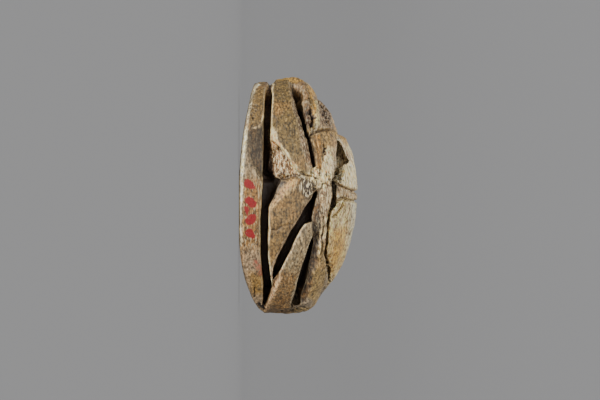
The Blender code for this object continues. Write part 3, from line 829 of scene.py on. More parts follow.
# Single cuts and cracks by their width and depth, and fills with a depth under 0
STROKES = (
    Stroke(((-10.6, 2.72), (-9.8, 2.68), (-9, 2.6)), 0.5, 0.3, seed=2, flank=Flank.ROUND),
    Stroke(((2.95, 2.3), (2.9, 3.2), (2.6, 3.6), (2.4, 4.5)), 0.2, 0.1, seed=3),
    Stroke(
        ((-2.15, 4.86), (-1.85, 5.25), (-1.68, 5.67), (-1.59, 6.19), (-1.4, 6.7)),
        0.2, 0.2, ragged=0.06, seed=4,
    ),
    Stroke(((-1.1, 5.56), (-0.5, 5.6), (0.1, 5.53)), 0.2, 0.1, ragged=0.06, seed=5),
    Stroke(((0.4, 9.42), (1.9, 9.46), (3.5, 9.37)), 0.14, 0.16, ragged=0.05, seed=6),
    Stroke(((1.9, 9.1), (2.6, 9.16), (3.3, 9.1)), 0.14, 0.17, ragged=0.05, seed=26),
    Stroke(((2.1, 9.7), (3, 9.72), (3.8, 9.6)), 0.12, 0.16, ragged=0.05, seed=27),
    Stroke(((-4.25, 7.25), (-3.9, 7.35), (-3.5, 7.22), (-3.0, 7.12)), 0.18, 0.26, ragged=0.1, seed=28),
    Stroke(((7.75, 1.31), (8.15, 1.36), (8.6, 1.33)), 0.16, 0.2, seed=8),
    Stroke(((-1.7, 0.2), (-0.9, 0.15), (-0.2, 0.15)), 0.12, 0.16, ragged=0.04, seed=29),
    Stroke(((9.3, 4.3), (9.6, 4.9), (9.5, 5.6), (9.75, 6.1)), 0.14, 0.16, ragged=0.12, seed=30),
    Stroke(((-9.7, 3.1), (-9.66, 4.2), (-9.7, 5.3)), 0.16, 0.12, seed=31),
    Stroke(((9.25, 1.65), (9.5, 1.85), (9.75, 2.1)), 0.46, 0.5, ragged=0.1, seed=9),
    Stroke(((-5.1, 5.9), (-4.3, 6.1), (-3.5, 6.25), (-2.5, 6.4)), 0.42, 0.5, ragged=0.06, seed=10),
    Stroke(
        ((-5.03, 6.02), (-5.29, 6.62), (-5.46, 6.96), (-5.55, 7.48), (-5.55, 8.43)),
        0.2, 0.17, seed=11,
    ),
    Stroke(((-7.2, 6.2), (-6.6, 6.28), (-5.95, 6.35)), 0.34, 0.5, ragged=0.12, seed=12),
    Stroke(
        ((-9.3, 4.55), (-8.9, 4.7), (-8.2, 4.93), (-7.5, 5.2), (-6.9, 5.36), (-6.3, 5.52), (-5.1, 5.9)),
        0.5, 0.6, ragged=0.14, seed=14,
    ),
    Stroke(
        ((0.9, 7.91), (1.3, 7.7), (1.7, 7.57), (3, 7.48), (3.8, 7.39), (5, 7.31), (5.4, 7.48),
         (6.3, 7.58), (6.8, 7.65), (7.4, 7.78), (7.9, 7.57)),
        0.2, 0.3, ragged=0.1, seed=15,
    ),
    Stroke(((-1.3, 8.05), (-0.5, 8.03), (0.2, 8), (0.9, 7.9)), 0.4, 0.7, ragged=0.06, seed=17),
    Stroke(
        ((-0.56, 6.96), (-0.95, 7.14), (-1.03, 7.39), (-0.82, 7.65)),
        0.34, 0.18, ragged=0.02, seed=18,
    ),
    Stroke(((1.76, 7.18), (3, 7.14), (3.8, 7.09), (4.7, 7), (5, 6.92)), 0.16, 0.26, ragged=0.0, seed=19),
    Stroke(((0.36, 8.98), (0.82, 8.77), (1.25, 8.51), (1.65, 8.2), (1.85, 7.91)), 0.22, 0.18, seed=21),
    Stroke(
        ((-1, 8.17), (-0.77, 8.68), (-0.6, 9.11), (-0.43, 9.54), (-0.3, 10.3)),
        0.24, 0.18, seed=22, flank=Flank.ROUND,
    ),
    Stroke(
        ((0.47, 8.17), (0.24, 8.51), (0.17, 8.77), (0.33, 9.2), (0.41, 9.72), (0.47, 10.3)),
        0.22, 0.12, seed=23, flank=Flank.ROUND,
    ),
    Stroke(((-2.3, 8.85), (-1.7, 8.7), (-1.1, 8.64)), 0.3, 0.5, ragged=0.08, seed=24),
    Stroke(((-2.6, 8.6), (-2.1, 8.45), (-1.5, 8.4)), 0.5, -0.6, ragged=0.08, seed=25),
    Stroke(((-3, 8.6), (-2.8, 9)), 0.5, -0.45, ragged=0.08, seed=26),
    Stroke(((-4.7, 2.72), (-4.0, 3.1)), 0.55, -0.7, seed=32),
    Stroke(((6.1, 2.74), (6.8, 2.76)), 0.36, -1.6, ragged=0.01, seed=33),
    Stroke(((-10.05, 3.9), (-10.05, 5.0)), 0.5, -0.6, ragged=0.0, seed=35, flank=Flank.ROUND),
    Stroke(((7.85, 7.6), (8.2, 7.35), (8.35, 7.05)), 0.22, 0.25, ragged=0.1, seed=34),
)

# Holes, by their radius and depth
PITS = (
    Pits(((-8.9, 3.21),), 0.11, 0.3),
    Pits(((-8.64, 4.64), (-6.66, 4.21), (-7.87, 3.78), (-2.6, 5.4)), 0.09, 0.12),
    Pits(
        ((-7.87, 0.99), (-7.61, 1.12), (-7.35, 0.95), (-7.27, 1.16), (-6.92, 1.29), (-6.75, 1.07),
         (-7.52, 1.38), (-7.09, 1.42), (-6.49, 1.2), (-8.1, 1.3)),
        0.08, 0.26,
    ),
    Pits(((-2.45, 3.71), (-2.02, 2.91), (-1.68, 3.53), (-1.63, 4.17), (-1.68, 4.47)), 0.13, 0.25),
    Pits(
        ((-3.57, 3.18), (-3.22, 3.4), (-3.65, 2.88), (-3.31, 2.97), (-2.88, 2.75), (-2.54, 2.92)),
        0.1, 0.16,
    ),
    Pits(((-4.17, 7.27), (-3.96, 7.39), (-3.7, 7.31), (-3.48, 7.35)), 0.14, 0.28),
    Pits(
        ((-7.72, 6.96), (-7.46, 7.1), (-7.44, 7.48), (-7.18, 7.29), (-6.78, 7.74), (-6.82, 7.2),
         (-6.56, 7.45), (-6.23, 7.48)),
        0.16, 0.3,
    ),
    Pits(((9.85, 3.65), (9.85, 4.43), (9.8, 4.64), (9.65, 4.94), (9.35, 4.51)), 0.17, 0.2),
)

# Blots of a brush on the plate, and the smear of one more
INK_BLOTS = (
    Blot(((-1.05, 0.75), (-0.8, 1.0)), 0.34),
    Blot(((0.3, 0.75), (0.7, 1.2)), 0.36),
    Blot(((1.1, 0.62), (1.3, 0.72)), 0.22),
    Blot(((1.95, 1.15), (2.25, 0.95)), 0.4),
    Blot(((3.1, 0.8), (3.3, 1.15)), 0.32),
)
INK_SMEAR = Blot(((5.7, 1.45), (6.05, 1.7), (6.5, 1.9)), 0.45)


def add_node(
    tree: bpy.types.NodeTree, kind: str, settings: dict | None = None, inputs: dict | None = None
) -> bpy.types.Node:
    """Adds a node with its settings, input values and incoming links.

    Args:
        tree: the node tree it goes in.
        kind: Blender's name of the node type.
        settings: properties of the node by name.
        inputs: for each input, by name or place, a value or the socket that feeds it.

    Returns:
        The new node.
    """
    node = tree.nodes.new(kind)
    for name, value in (settings or {}).items():
        setattr(node, name, value)
    for name, value in (inputs or {}).items():
        if isinstance(value, bpy.types.NodeSocket):
            tree.links.new(value, node.inputs[name])
        else:
            node.inputs[name].default_value = value
    return node


def pick_out(piece: bpy.types.Object) -> None:
    """Selects one object alone and makes it the active one.

    Args:
        piece: the object to work on next.
    """
    bpy.ops.object.select_all(action="DESELECT")
    piece.select_set(True)
    bpy.context.view_layer.objects.active = piece


@dataclass(frozen=True)
class Pattern:
    """Noise whose patches have one size along the stone and one across it, in millimetres."""

    name: str
    along: float
    across: float
    detail: float

    def scale(self) -> tuple[float, float, float]:
        """Patches to a metre along X, Y and Z."""
        return 1 / (self.along * MM), 1 / (self.across * MM), 1 / (self.across * MM)


@dataclass(frozen=True)
class Ramp:
    """Goes smoothly from base, where a pattern is low, to top, where it is high."""

    pattern: str
    low: float
    high: float
    top: float = 1.0
    base: float = 0.0

    def inputs(self, sockets: dict[str, bpy.types.NodeSocket]) -> dict:
        """Inputs of the Map Range node that makes the ramp."""
        ends = {"From Min": self.low, "From Max": self.high, "To Min": self.base, "To Max": self.top}
        return {"Value": sockets[self.pattern], **ends}


@dataclass(frozen=True)
class Layer:
    """A colour laid over the stone, by the product of what the mesh keeps and of some ramps."""

    colour: str
    kept: tuple[str, ...] = ()
    ramps: tuple[Ramp, ...] = ()


@dataclass(frozen=True)
class CarvedStone:
    """Soft tan stone, cut with a graver, rubbed by handling and stained by the ground.

    It is matt and grainy, with fine dark pores. What was rubbed is pale, and what lies deep is dark with
    soil and painted shade. The zones' colours, a few of them painted highlight and painted shade, and
    the wear, the soil with painted shade, and the ink are kept on the mesh.
    """

    # Dark of the soil, which also stands for painted shade in deep cuts, hollows and under the stone
    soil_and_shade: str = "2c1c12"
    skin: str = "f2e0b4"
    ochre: str = "a8763a"
    pepper: str = "33230f"
    ink: str = "8c0200"
    refraction: float = 1.57
    roughness: float = 0.62
    # The stone's real grain is under 0.1 mm, and is drawn coarser here so that it shows
    patterns: tuple[Pattern, ...] = (
        Pattern("streaks", 1.5, 0.15, detail=3.0),
        Pattern("clouds", 2.4, 2.4, detail=3.0),
        Pattern("mottle", 0.7, 0.5, detail=3.0),
        Pattern("grain", 0.24, 0.16, detail=2.0),
        Pattern("specks", 0.22, 0.13, detail=1.0),
        Pattern("scratches", 0.5, 0.12, detail=2.0),
    )
    patchiness: float = 0.6
    # Patterns that darken and lighten what is under them, each with its share
    flecks: tuple[tuple[Ramp, float], ...] = (
        (Ramp("mottle", 0.26, 0.74, top=0.95, base=0.05), 0.35),
        (Ramp("streaks", 0.3, 0.7, top=0.95, base=0.05), 0.45),
        (Ramp("grain", 0.32, 0.68, top=0.95, base=0.05), 0.7),
    )
    relief_mm: float = 0.036
    streak_height: float = 0.9
    grain_height: float = 0.7
    pores: Ramp = Ramp("specks", 0.36, 0.27)

    def stains(self) -> tuple[Layer, ...]:
        """What is in the stone itself, under its flecks."""
        return (Layer(self.ochre, ramps=(Ramp("clouds", 0.5, 0.72, top=0.4),)),)

    def marks(self) -> tuple[Layer, ...]:
        """What lies over the flecked stone: scratches, rubbed places, pores, ink, and soil with painted
        shade.
        """
        return (
            Layer(self.skin, ("rough", "rough"), (Ramp("scratches", 0.52, 0.61, top=0.95),)),
            Layer(self.pepper, ("rough", "rough"), (Ramp("scratches", 0.47, 0.37, top=0.95),)),
            Layer(self.skin, ("wear",), (Ramp("mottle", 0.3, 0.55, base=0.35),)),
            Layer(self.pepper, ramps=(Ramp("specks", 0.34, 0.26, top=0.4),)),
            Layer(self.ink, ramps=(Ramp("ink", -0.03, 0.09), Ramp("grain", 0.3, 0.44, base=0.6))),
            Layer(self.ink, ramps=(Ramp("smear", 0.0, 0.35), Ramp("grain", 0.35, 0.6, top=0.75))),
            # Soil with painted shade: dark in deep cuts and hollows, and on the underside
            Layer(self.soil_and_shade, ("soil_and_shade",)),
        )

    def sockets(self, tree: bpy.types.NodeTree) -> dict[str, bpy.types.NodeSocket]:
        """Adds the patterns and reads what the mesh keeps.

        Args:
            tree: the material's nodes.

        Returns:
            The socket of each pattern and of each kept value, by name.
        """
        place = add_node(tree, "ShaderNodeTexCoord").outputs["Object"]
        found = {}
        for pattern in self.patterns:
            stretched = add_node(
                tree, "ShaderNodeMapping", inputs={"Vector": place, "Scale": pattern.scale()}
            )
            cloud = add_node(
                tree, "ShaderNodeTexNoise",
                inputs={
                    "Vector": stretched.outputs["Vector"], "Scale": 1.0,
                    "Detail": pattern.detail, "Roughness": self.patchiness,
                },
            )
            found[pattern.name] = cloud.outputs["Fac"]
        for name in ("rough", "wear", "soil_and_shade", "ink", "smear"):
            found[name] = add_node(tree, "ShaderNodeAttribute", {"attribute_name": name}).outputs["Fac"]
        return found

    def layered(
        self,
        tree: bpy.types.NodeTree,
        sockets: dict[str, bpy.types.NodeSocket],
        colour: bpy.types.NodeSocket,
        layers: tuple[Layer, ...],
    ) -> bpy.types.NodeSocket:
        """Lays layers over a colour, each by the product of its shares.

        Args:
            tree: the material's nodes.
            sockets: the patterns and the kept values.
            colour: what the layers lie on.
            layers: the layers, from the lowest up.

        Returns:
            The socket of the resulting colour.
        """
        for layer in layers:
            shares = [sockets[name] for name in layer.kept]
            for ramp in layer.ramps:
                step = add_node(tree, "ShaderNodeMapRange", SMOOTH, ramp.inputs(sockets))
                shares.append(step.outputs["Result"])
            cover = shares[0]
            for share in shares[1:]:
                product = add_node(
                    tree, "ShaderNodeMath", {"operation": "MULTIPLY"}, {0: cover, 1: share}
                )
                cover = product.outputs[0]
            mix = add_node(
                tree, "ShaderNodeMix", {"data_type": "RGBA"},
                {MIX_FACTOR: cover, MIX_A: colour, MIX_B: linear(layer.colour)},
            )
            colour = mix.outputs[MIX_RESULT]
        return colour

    def coloured(
        self, tree: bpy.types.NodeTree, sockets: dict[str, bpy.types.NodeSocket]
    ) -> bpy.types.NodeSocket:
        """Lays the stains, the flecks and the marks over the zones' colours.

        Args:
            tree: the material's nodes.
            sockets: the patterns and the kept values.

        Returns:
            The socket of the finished colour.
        """
        tint = add_node(tree, "ShaderNodeAttribute", {"attribute_name": "tint"}).outputs["Color"]
        colour = self.layered(tree, sockets, tint, self.stains())
        for ramp, share in self.flecks:
            shade = add_node(tree, "ShaderNodeMapRange", SMOOTH, ramp.inputs(sockets))
            mix = add_node(
                tree, "ShaderNodeMix", {"data_type": "RGBA", "blend_type": "OVERLAY"},
                {MIX_FACTOR: share, MIX_A: colour, MIX_B: shade.outputs["Result"]},
            )
            colour = mix.outputs[MIX_RESULT]
        return self.layered(tree, sockets, colour, self.marks())

    def material(self) -> bpy.types.Material:
        """Builds the stone's nodes.

        Returns:
            The finished material.
        """
        stone = bpy.data.materials.new("worn_tan_stone")
        stone.use_nodes = True
        tree = stone.node_tree
        tree.nodes.clear()
        sockets = self.sockets(tree)
        pores = add_node(tree, "ShaderNodeMapRange", SMOOTH, self.pores.inputs(sockets))
        heights = [
            add_node(tree, "ShaderNodeMath", {"operation": "MULTIPLY"}, {0: sockets[name], 1: height})
            for name, height in (("streaks", self.streak_height), ("grain", self.grain_height))
        ]
        ridges = add_node(
            tree, "ShaderNodeMath", {"operation": "ADD"},
            {0: heights[0].outputs[0], 1: heights[1].outputs[0]},
        )
        pitted = add_node(
            tree, "ShaderNodeMath", {"operation": "SUBTRACT"},
            {0: ridges.outputs[0], 1: pores.outputs["Result"]},
        )
        relief = add_node(
            tree, "ShaderNodeBump",
            inputs={"Height": pitted.outputs[0], "Distance": self.relief_mm * MM, "Strength": 1.0},
        )
        shader = add_node(
            tree, "ShaderNodeBsdfPrincipled",
            inputs={
                "Base Color": self.coloured(tree, sockets), "Roughness": self.roughness,
                "IOR": self.refraction, "Normal": relief.outputs["Normal"],
            },
        )
        add_node(tree, "ShaderNodeOutputMaterial", inputs={"Surface": shader.outputs["BSDF"]})
        return stone


@dataclass(frozen=True)
class DrawingPaper:
    """Pale grey drawing paper: matt and even, so that it shows only soft shadow."""

    grey: str = "969697"
    roughness: float = 0.9

    def material(self) -> bpy.types.Material:
        """Builds the paper's nodes.

        Returns:
            The finished material.
        """
        sheet = bpy.data.materials.new("pale_grey_paper")
        sheet.use_nodes = True
        tree = sheet.node_tree
        tree.nodes.clear()
        shader = add_node(
            tree, "ShaderNodeBsdfPrincipled",
            inputs={
                "Base Color": linear(self.grey), "Roughness": self.roughness, "Specular IOR Level": 0.0,
            },
        )
        add_node(tree, "ShaderNodeOutputMaterial", inputs={"Surface": shader.outputs["BSDF"]})
        return sheet


class Survey:
    """What is known of the stone at each vertex.

    Outward points out of the uncarved stone, and buried is the depth under it. Cover says how far a
    vertex is on each flank. Tint, rough, clean and worn are as in a Zone. Edges stand out, and cut is
    how deep the strokes, pits and losses go.
    """

    def __init__(self, size: int, tint: str, rough: float) -> None:
        """Starts with plain stone everywhere.

        Args:
            size: number of vertices.
            tint: colour of the plain stone.
            rough: how flecked the plain stone is.
        """
        self.outward = np.empty((size, 3))
        self.buried = np.empty(size)
        self.cover: dict[Flank, np.ndarray] = {}
        self.tint = np.tile(linear(tint), (size, 1))
        self.rough = np.full(size, rough)
        self.clean = np.zeros(size)
        self.worn = np.ones(size)
        self.edges = np.zeros(size)
        self.cut = np.zeros(size)

    def paint(self, colour: str, share: np.ndarray) -> None:
        """Blends a colour into the tint by a share for each vertex."""
        self.tint += (np.array(linear(colour)) - self.tint) * share[:, None]


@dataclass
class Carving:
    """The whole amulet: an oval plate with a beetle on it, cut from one stone.

    A span is where something starts and where it is full.
    """

    node: str = "scarab"
    voxel: float = 0.072
    weld: float = 0.0005
    most_triangles: int = 196000

    # The far flank and the underside are plainer, so they keep a smaller share of their faces
    plain_share: float = 0.2
    plain_past: float = -1.0
    far_facing: float = 0.1
    down_facing: float = -0.8
    under_height: float = 1.0

    # The uncarved stone and the flanks, by which way the stone faces
    block_rounds: int = 12
    underside_slope: Span = (-0.85, -0.6)
    flank_slope: Span = (0.02, 0.2)

    plain_tint: str = "746144"
    plain_rough: float = 0.5
    zone_waves: tuple[Waves, ...] = (Waves(0.06, 0.5, 91),)

    # The hand's waver along all lines, and more of it where edges are broken
    first_rounds: int = 3
    warp: float = 0.045
    hand: tuple[Waves, ...] = (Waves(1.0, (0.9, 2.0, 0.6), 51), Waves(0.5, 0.35, 61))
    breaks: tuple[Waves, ...] = (Waves(1.0, 0.5, 65), Waves(0.5, 0.24, 67))
    break_border: Span = (-0.2, 0.2)

    # Wear takes this share off what stands out over so many rounds of edges
    rubs: tuple[tuple[int, float], ...] = ((50, 0.5), (12, 0.5))
    least_rub: float = 0.75
    rub_waves: Waves = Waves(0.45, 1.1, 70)
    edge_rounds: int = 8
    edge_height: Span = (0.005, 0.03)

    # The solid's slots are deepened, from one span of depths to the other
    slot_drop: float = 0.8
    slot_from: Span = (0.7, 0.95)
    slot_to: Span = (1.0, 1.5)
    swell: tuple[Waves, ...] = (Waves(0.025, (1.6, 0.8, 0.8), 81), Waves(0.016, (0.7, 0.3, 0.3), 83))
    tooth: Waves = Waves(1.0, (0.5, 0.17, 0.17), 87)
    least_tooth: float = 0.006
    rough_tooth: float = 0.03
    most_proud: float = 0.04

    # Where soil and painted shade lie and how much, and how far rubbed edges are pale
    hollow_rounds: int = 16
    hollow_depth: Span = (0.012, 0.05)
    hollow_soil_and_shade: float = 0.75
    deep_from: Span = (0.65, 0.95)
    deep_soil_and_shade: float = 0.97
    deep_cleaned: float = 0.5
    cut_depth: Span = (0.07, 0.25)
    cut_cleaned: float = 0.55
    # Painted shade on the down-facing stone away from the flank towards -Y: where it starts and how dark
    under_slope: Span = (0.15, 0.5)
    underside_painted_shade: float = 0.45
    edge_wear: float = 0.5

    ink_waves: tuple[Waves, ...] = (Waves(0.16, 0.5, 95), Waves(0.09, 0.19, 96))
    ink_facing: float = -0.3
    no_ink: float = -1.0

    def build(self) -> bpy.types.Object:
        """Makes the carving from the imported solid.

        Returns:
            The finished piece, dressed and riding on its body.
        """
        piece, block = self.fine_copy()
        self.thin_plain_sides(piece)
        surface = Surface(piece.data)
        survey = Survey(len(surface.points), self.plain_tint, self.plain_rough)
        self.find_block(surface, survey, block)
        self.mark_zones(surface, survey)
        self.waver(surface, survey)
        self.rub(surface, survey)
        self.carve(surface, survey)
        self.fit(surface)
        surface.write()
        self.dress(piece, surface, survey)
        self.lighten(piece)
        piece.data.transform(Matrix.Scale(MM, 4))
        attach(piece, "root")
        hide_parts(self.node)
        mesh = piece.data
        LOG.info("%s: %d vertices, %d faces", piece.name, len(mesh.vertices), len(mesh.polygons))
        return piece

    def fine_copy(self) -> tuple[bpy.types.Object, BVHTree]:
        """Copies the solid in millimetres, merges it and remeshes it finely.

        Returns:
            The copy, and the stone as it was before its flanks were cut.
        """
        piece = bpy.data.objects.new("carved_scarab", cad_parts[self.node].data.copy())
        bpy.context.scene.collection.objects.link(piece)
        piece.data.transform(Matrix.Scale(1 / MM, 4))
        pick_out(piece)
        bpy.ops.object.mode_set(mode="EDIT")
        bpy.ops.mesh.select_all(action="SELECT")
        bpy.ops.mesh.remove_doubles(threshold=self.weld)
        bpy.ops.object.mode_set(mode="OBJECT")
        block = self.hull_of(piece)
        remesh = piece.modifiers.new("fine_mesh", "REMESH")
        remesh.mode = "VOXEL"
        remesh.voxel_size = self.voxel
        remesh.use_smooth_shade = True
        bpy.ops.object.modifier_apply(modifier=remesh.name)
        return piece, block

    def hull_of(self, piece: bpy.types.Object) -> BVHTree:
        """Wraps the carving tightly, which gives back the stone before its flanks were cut.

        Args:
            piece: the merged copy of the solid, which is active again at the end.

        Returns:
            The wrapping, ready to be searched for its nearest place.
        """
        block = piece.copy()
        block.data = piece.data.copy()
        bpy.context.scene.collection.objects.link(block)
        pick_out(block)
        bpy.ops.object.mode_set(mode="EDIT")
        bpy.ops.mesh.select_all(action="SELECT")
        bpy.ops.mesh.convex_hull()
        bpy.ops.object.mode_set(mode="OBJECT")
        tree = BVHTree.FromObject(block, bpy.context.evaluated_depsgraph_get())
        bpy.data.objects.remove(block, do_unlink=True)
        pick_out(piece)
        return tree

    def thin_plain_sides(self, piece: bpy.types.Object) -> None:
        """Merges faces on the sides that are plainer: the far flank and the underside.

        Args:
            piece: the finely meshed copy.
        """
        mesh = piece.data
        centres = np.empty(len(mesh.polygons) * 3, np.float32)
        mesh.polygons.foreach_get("center", centres)
        facing = np.empty(len(mesh.polygons) * 3, np.float32)
        mesh.polygons.foreach_get("normal", facing)
        centres, facing = centres.reshape(-1, 3), facing.reshape(-1, 3)
        plain = (centres[:, 1] > self.plain_past) | (facing[:, 1] > self.far_facing)
        plain |= (facing[:, 2] < self.down_facing) & (centres[:, 2] < self.under_height)
        bpy.ops.object.mode_set(mode="EDIT")
        bpy.ops.mesh.select_mode(type="FACE")
        bpy.ops.mesh.select_all(action="DESELECT")
        bpy.ops.object.mode_set(mode="OBJECT")
        mesh.polygons.foreach_set("select", plain)
        bpy.ops.object.mode_set(mode="EDIT")
        bpy.ops.mesh.decimate(ratio=self.plain_share)
        bpy.ops.object.mode_set(mode="OBJECT")

    def find_block(self, surface: Surface, survey: Survey, block: BVHTree) -> None:
        """Finds where each vertex lies under the uncarved stone.

        Args:
            surface: the fine mesh, before it is worked on.
            survey: takes the outward direction and the depth.
            block: the uncarved stone.
        """
        for number, point in enumerate(surface.points):
            _, direction, _, distance = block.find_nearest(Vector(point))
            survey.outward[number] = direction
            survey.buried[number] = distance
        outward = surface.averaged(survey.outward, self.block_rounds)
        survey.outward = outward / np.linalg.norm(outward, axis=1)[:, None]

    def mark_zones(self, surface: Surface, survey: Survey) -> None:
        """Finds which flank each vertex is on, its stone colour with the zones' painted highlight and
        shade, and how rough, clean and worn it is.

        Args:
            surface: the fine mesh, before it is worked on.
            survey: takes the flanks and the state of the stone.
        """
        side = survey.outward[:, 1]
        above = eased(survey.outward[:, 2], *self.underside_slope)
        survey.cover = {
            Flank.PHOTOGRAPHED: eased(-side, *self.flank_slope) * above,
            Flank.BOTH: eased(np.abs(side), *self.flank_slope) * above,
            Flank.ROUND: above,
        }
        points = surface.points
        places = strayed(surface.places(), points, self.zone_waves, shift=2)
        for zone in ZONES:
            share = covered(places, zone.outline, zone.soft) * survey.cover[zone.flank]
            survey.paint(zone.colour, share)
            survey.rough += (zone.rough - survey.rough) * share
            survey.clean += (zone.clean - survey.clean) * share
            survey.worn += (zone.worn - survey.worn) * share
        for chamfer in CHAMFERS:
            survey.paint(chamfer.colour, chamfer.showing(places, points) * survey.cover[chamfer.flank])

    def waver(self, surface: Surface, survey: Survey) -> None:
        """Softens the solid's lines and lets them waver, most where edges are broken.

        Args:
            surface: the fine mesh.
            survey: says which flank each vertex is on.
        """
        surface.points = surface.averaged(surface.points, self.first_rounds)
        places = surface.places()
        stray = np.zeros(len(places))
        for part in RAGGED_PARTS:
            broken = eased(inside_by(places, part.outline), *self.break_border)
            stray = np.maximum(stray, part.stray * broken)
        for axis in (0, 2):
            points = surface.points.copy()
            moved = self.warp * sum(waves.at(points, axis) for waves in self.hand)
            moved += stray * sum(waves.at(points, axis) for waves in self.breaks)
            surface.points[:, axis] += moved * survey.cover[Flank.BOTH]

    def rub(self, surface: Surface, survey: Survey) -> None:
        """Wears down what stands out, unevenly, and finds the edges that are left.

        Args:
            surface: the fine mesh.
            survey: takes the edges.
        """
        for rounds, share in self.rubs:
            uneven = self.least_rub + self.rub_waves.at(surface.points, rounds)
            worn_off = np.clip(surface.standing_out(rounds), 0, None) * share * uneven
            surface.points -= surface.normals() * worn_off[:, None]
        survey.edges = eased(surface.standing_out(self.edge_rounds), *self.edge_height)

    def carve(self, surface: Surface, survey: Survey) -> None:
        """Deepens the slots and cuts the shallow carving, the losses and the stone's own unevenness.

        Args:
            surface: the fine mesh.
            survey: gives the directions and flanks, and takes the cuts and the new depths.
        """
        buried = survey.buried
        depth = self.slot_drop * eased(buried, *self.slot_from) * (1 - eased(buried, *self.slot_to))
        places, points = surface.places(), surface.points
        for cut in (*SLOPES, *HATCHINGS, *CHAMFERS):
            depth += cut.depth(places, points) * survey.cover[cut.flank]
        for cut in (*CRUMBLINGS, *STROKES, *PITS):
            survey.cut += cut.depth(places, points) * survey.cover[cut.flank]
        depth += survey.cut
        depth += sum(waves.at(points) for waves in self.swell)
        depth += (self.least_tooth + self.rough_tooth * survey.rough ** 2) * self.tooth.at(points)
        depth = np.maximum(depth, -buried - self.most_proud)
        surface.points -= survey.outward * depth[:, None]
        survey.buried += depth
        surface.points = surface.averaged(surface.points, 1)

    def fit(self, surface: Surface) -> None:
        """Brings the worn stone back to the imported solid's length and height.

        Args:
            surface: the carved mesh.
        """
        low, high = (np.array(corner) / MM for corner in CAD_BOX)
        for axis in (0, 2):
            column = surface.points[:, axis]
            middle = (low[axis] + high[axis]) / 2
            above = column > middle
            upper = (column[above] - middle) * (high[axis] - middle) / (column.max() - middle)
            lower = (middle - column[~above]) * (middle - low[axis]) / (middle - column.min())
            column[above] = middle + upper
            column[~above] = middle - lower

    def dress(self, piece: bpy.types.Object, surface: Surface, survey: Survey) -> None:
        """Keeps tint, wear, soil with painted shade, and ink on the mesh and gives it the stone finish.

        Args:
            piece: the carving.
            surface: its mesh as arrays.
            survey: what is known of the stone.
        """
        clean = survey.clean
        # Deep places and hollows get one dark mask, part soil and part painted shade
        hollows = eased(-surface.standing_out(self.hollow_rounds), *self.hollow_depth)
        deep = eased(survey.buried - clean, *self.deep_from)
        sunk = np.maximum(eased(survey.cut, *self.cut_depth), hollows * self.hollow_soil_and_shade * (1 - clean))
        rubbed = survey.edges * (1 - deep) * (1 - sunk) * self.edge_wear
        # Painted shade under the stone, except on the flank towards -Y
        under = eased(-survey.outward[:, 2], *self.under_slope) * (1 - survey.cover[Flank.PHOTOGRAPHED])
        soil_and_shade = np.maximum(
            deep * self.deep_soil_and_shade * (1 - self.deep_cleaned * clean), sunk * (1 - self.cut_cleaned * clean)
        )
        drawn = strayed(surface.places(), surface.points, self.ink_waves, shift=2)
        ink = np.max([blot.inside_by(drawn) for blot in INK_BLOTS], axis=0)
        kept = {
            "tint": survey.tint,
            "rough": survey.rough,
            "wear": rubbed * survey.worn * survey.cover[Flank.ROUND],
            "soil_and_shade": np.clip(np.maximum(soil_and_shade, under * self.underside_painted_shade), 0, 1),
            "ink": np.where(survey.outward[:, 1] < self.ink_facing, ink, self.no_ink),
            "smear": INK_SMEAR.inside_by(drawn),
        }
        for name, values in kept.items():
            surface.store(name, values)
        piece.data.materials.clear()
        piece.data.materials.append(CarvedStone().material())

    def lighten(self, piece: bpy.types.Object) -> None:
        """Merges the smallest faces, down to the number that one piece may have.

        Args:
            piece: the dressed carving.
        """
        triangles = sum(len(face.vertices) - 2 for face in piece.data.polygons)
        fewer = piece.modifiers.new("fewer_faces", "DECIMATE")
        fewer.ratio = min(1.0, self.most_triangles / triangles)
        bpy.ops.object.modifier_apply(modifier=fewer.name)
        bpy.ops.object.shade_smooth()


@dataclass(frozen=True)
class SoftLamp:
    """One soft lamp, by its place and width in metres and its power in watts."""

    name: str
    place: tuple[float, float, float]
    width: float
    power: float

    def hang(self, target: Vector) -> None:
        """Adds the lamp.

        Args:
            target: the place that it is turned towards.
        """
        lamp = bpy.data.lights.new(self.name, "AREA")
        lamp.energy = self.power
        lamp.size = self.width
        holder = bpy.data.objects.new(self.name, lamp)
        bpy.context.scene.collection.objects.link(holder)
        holder.location = self.place
        holder.rotation_euler = (Vector(self.place) - target).to_track_quat("Z", "Y").to_euler()


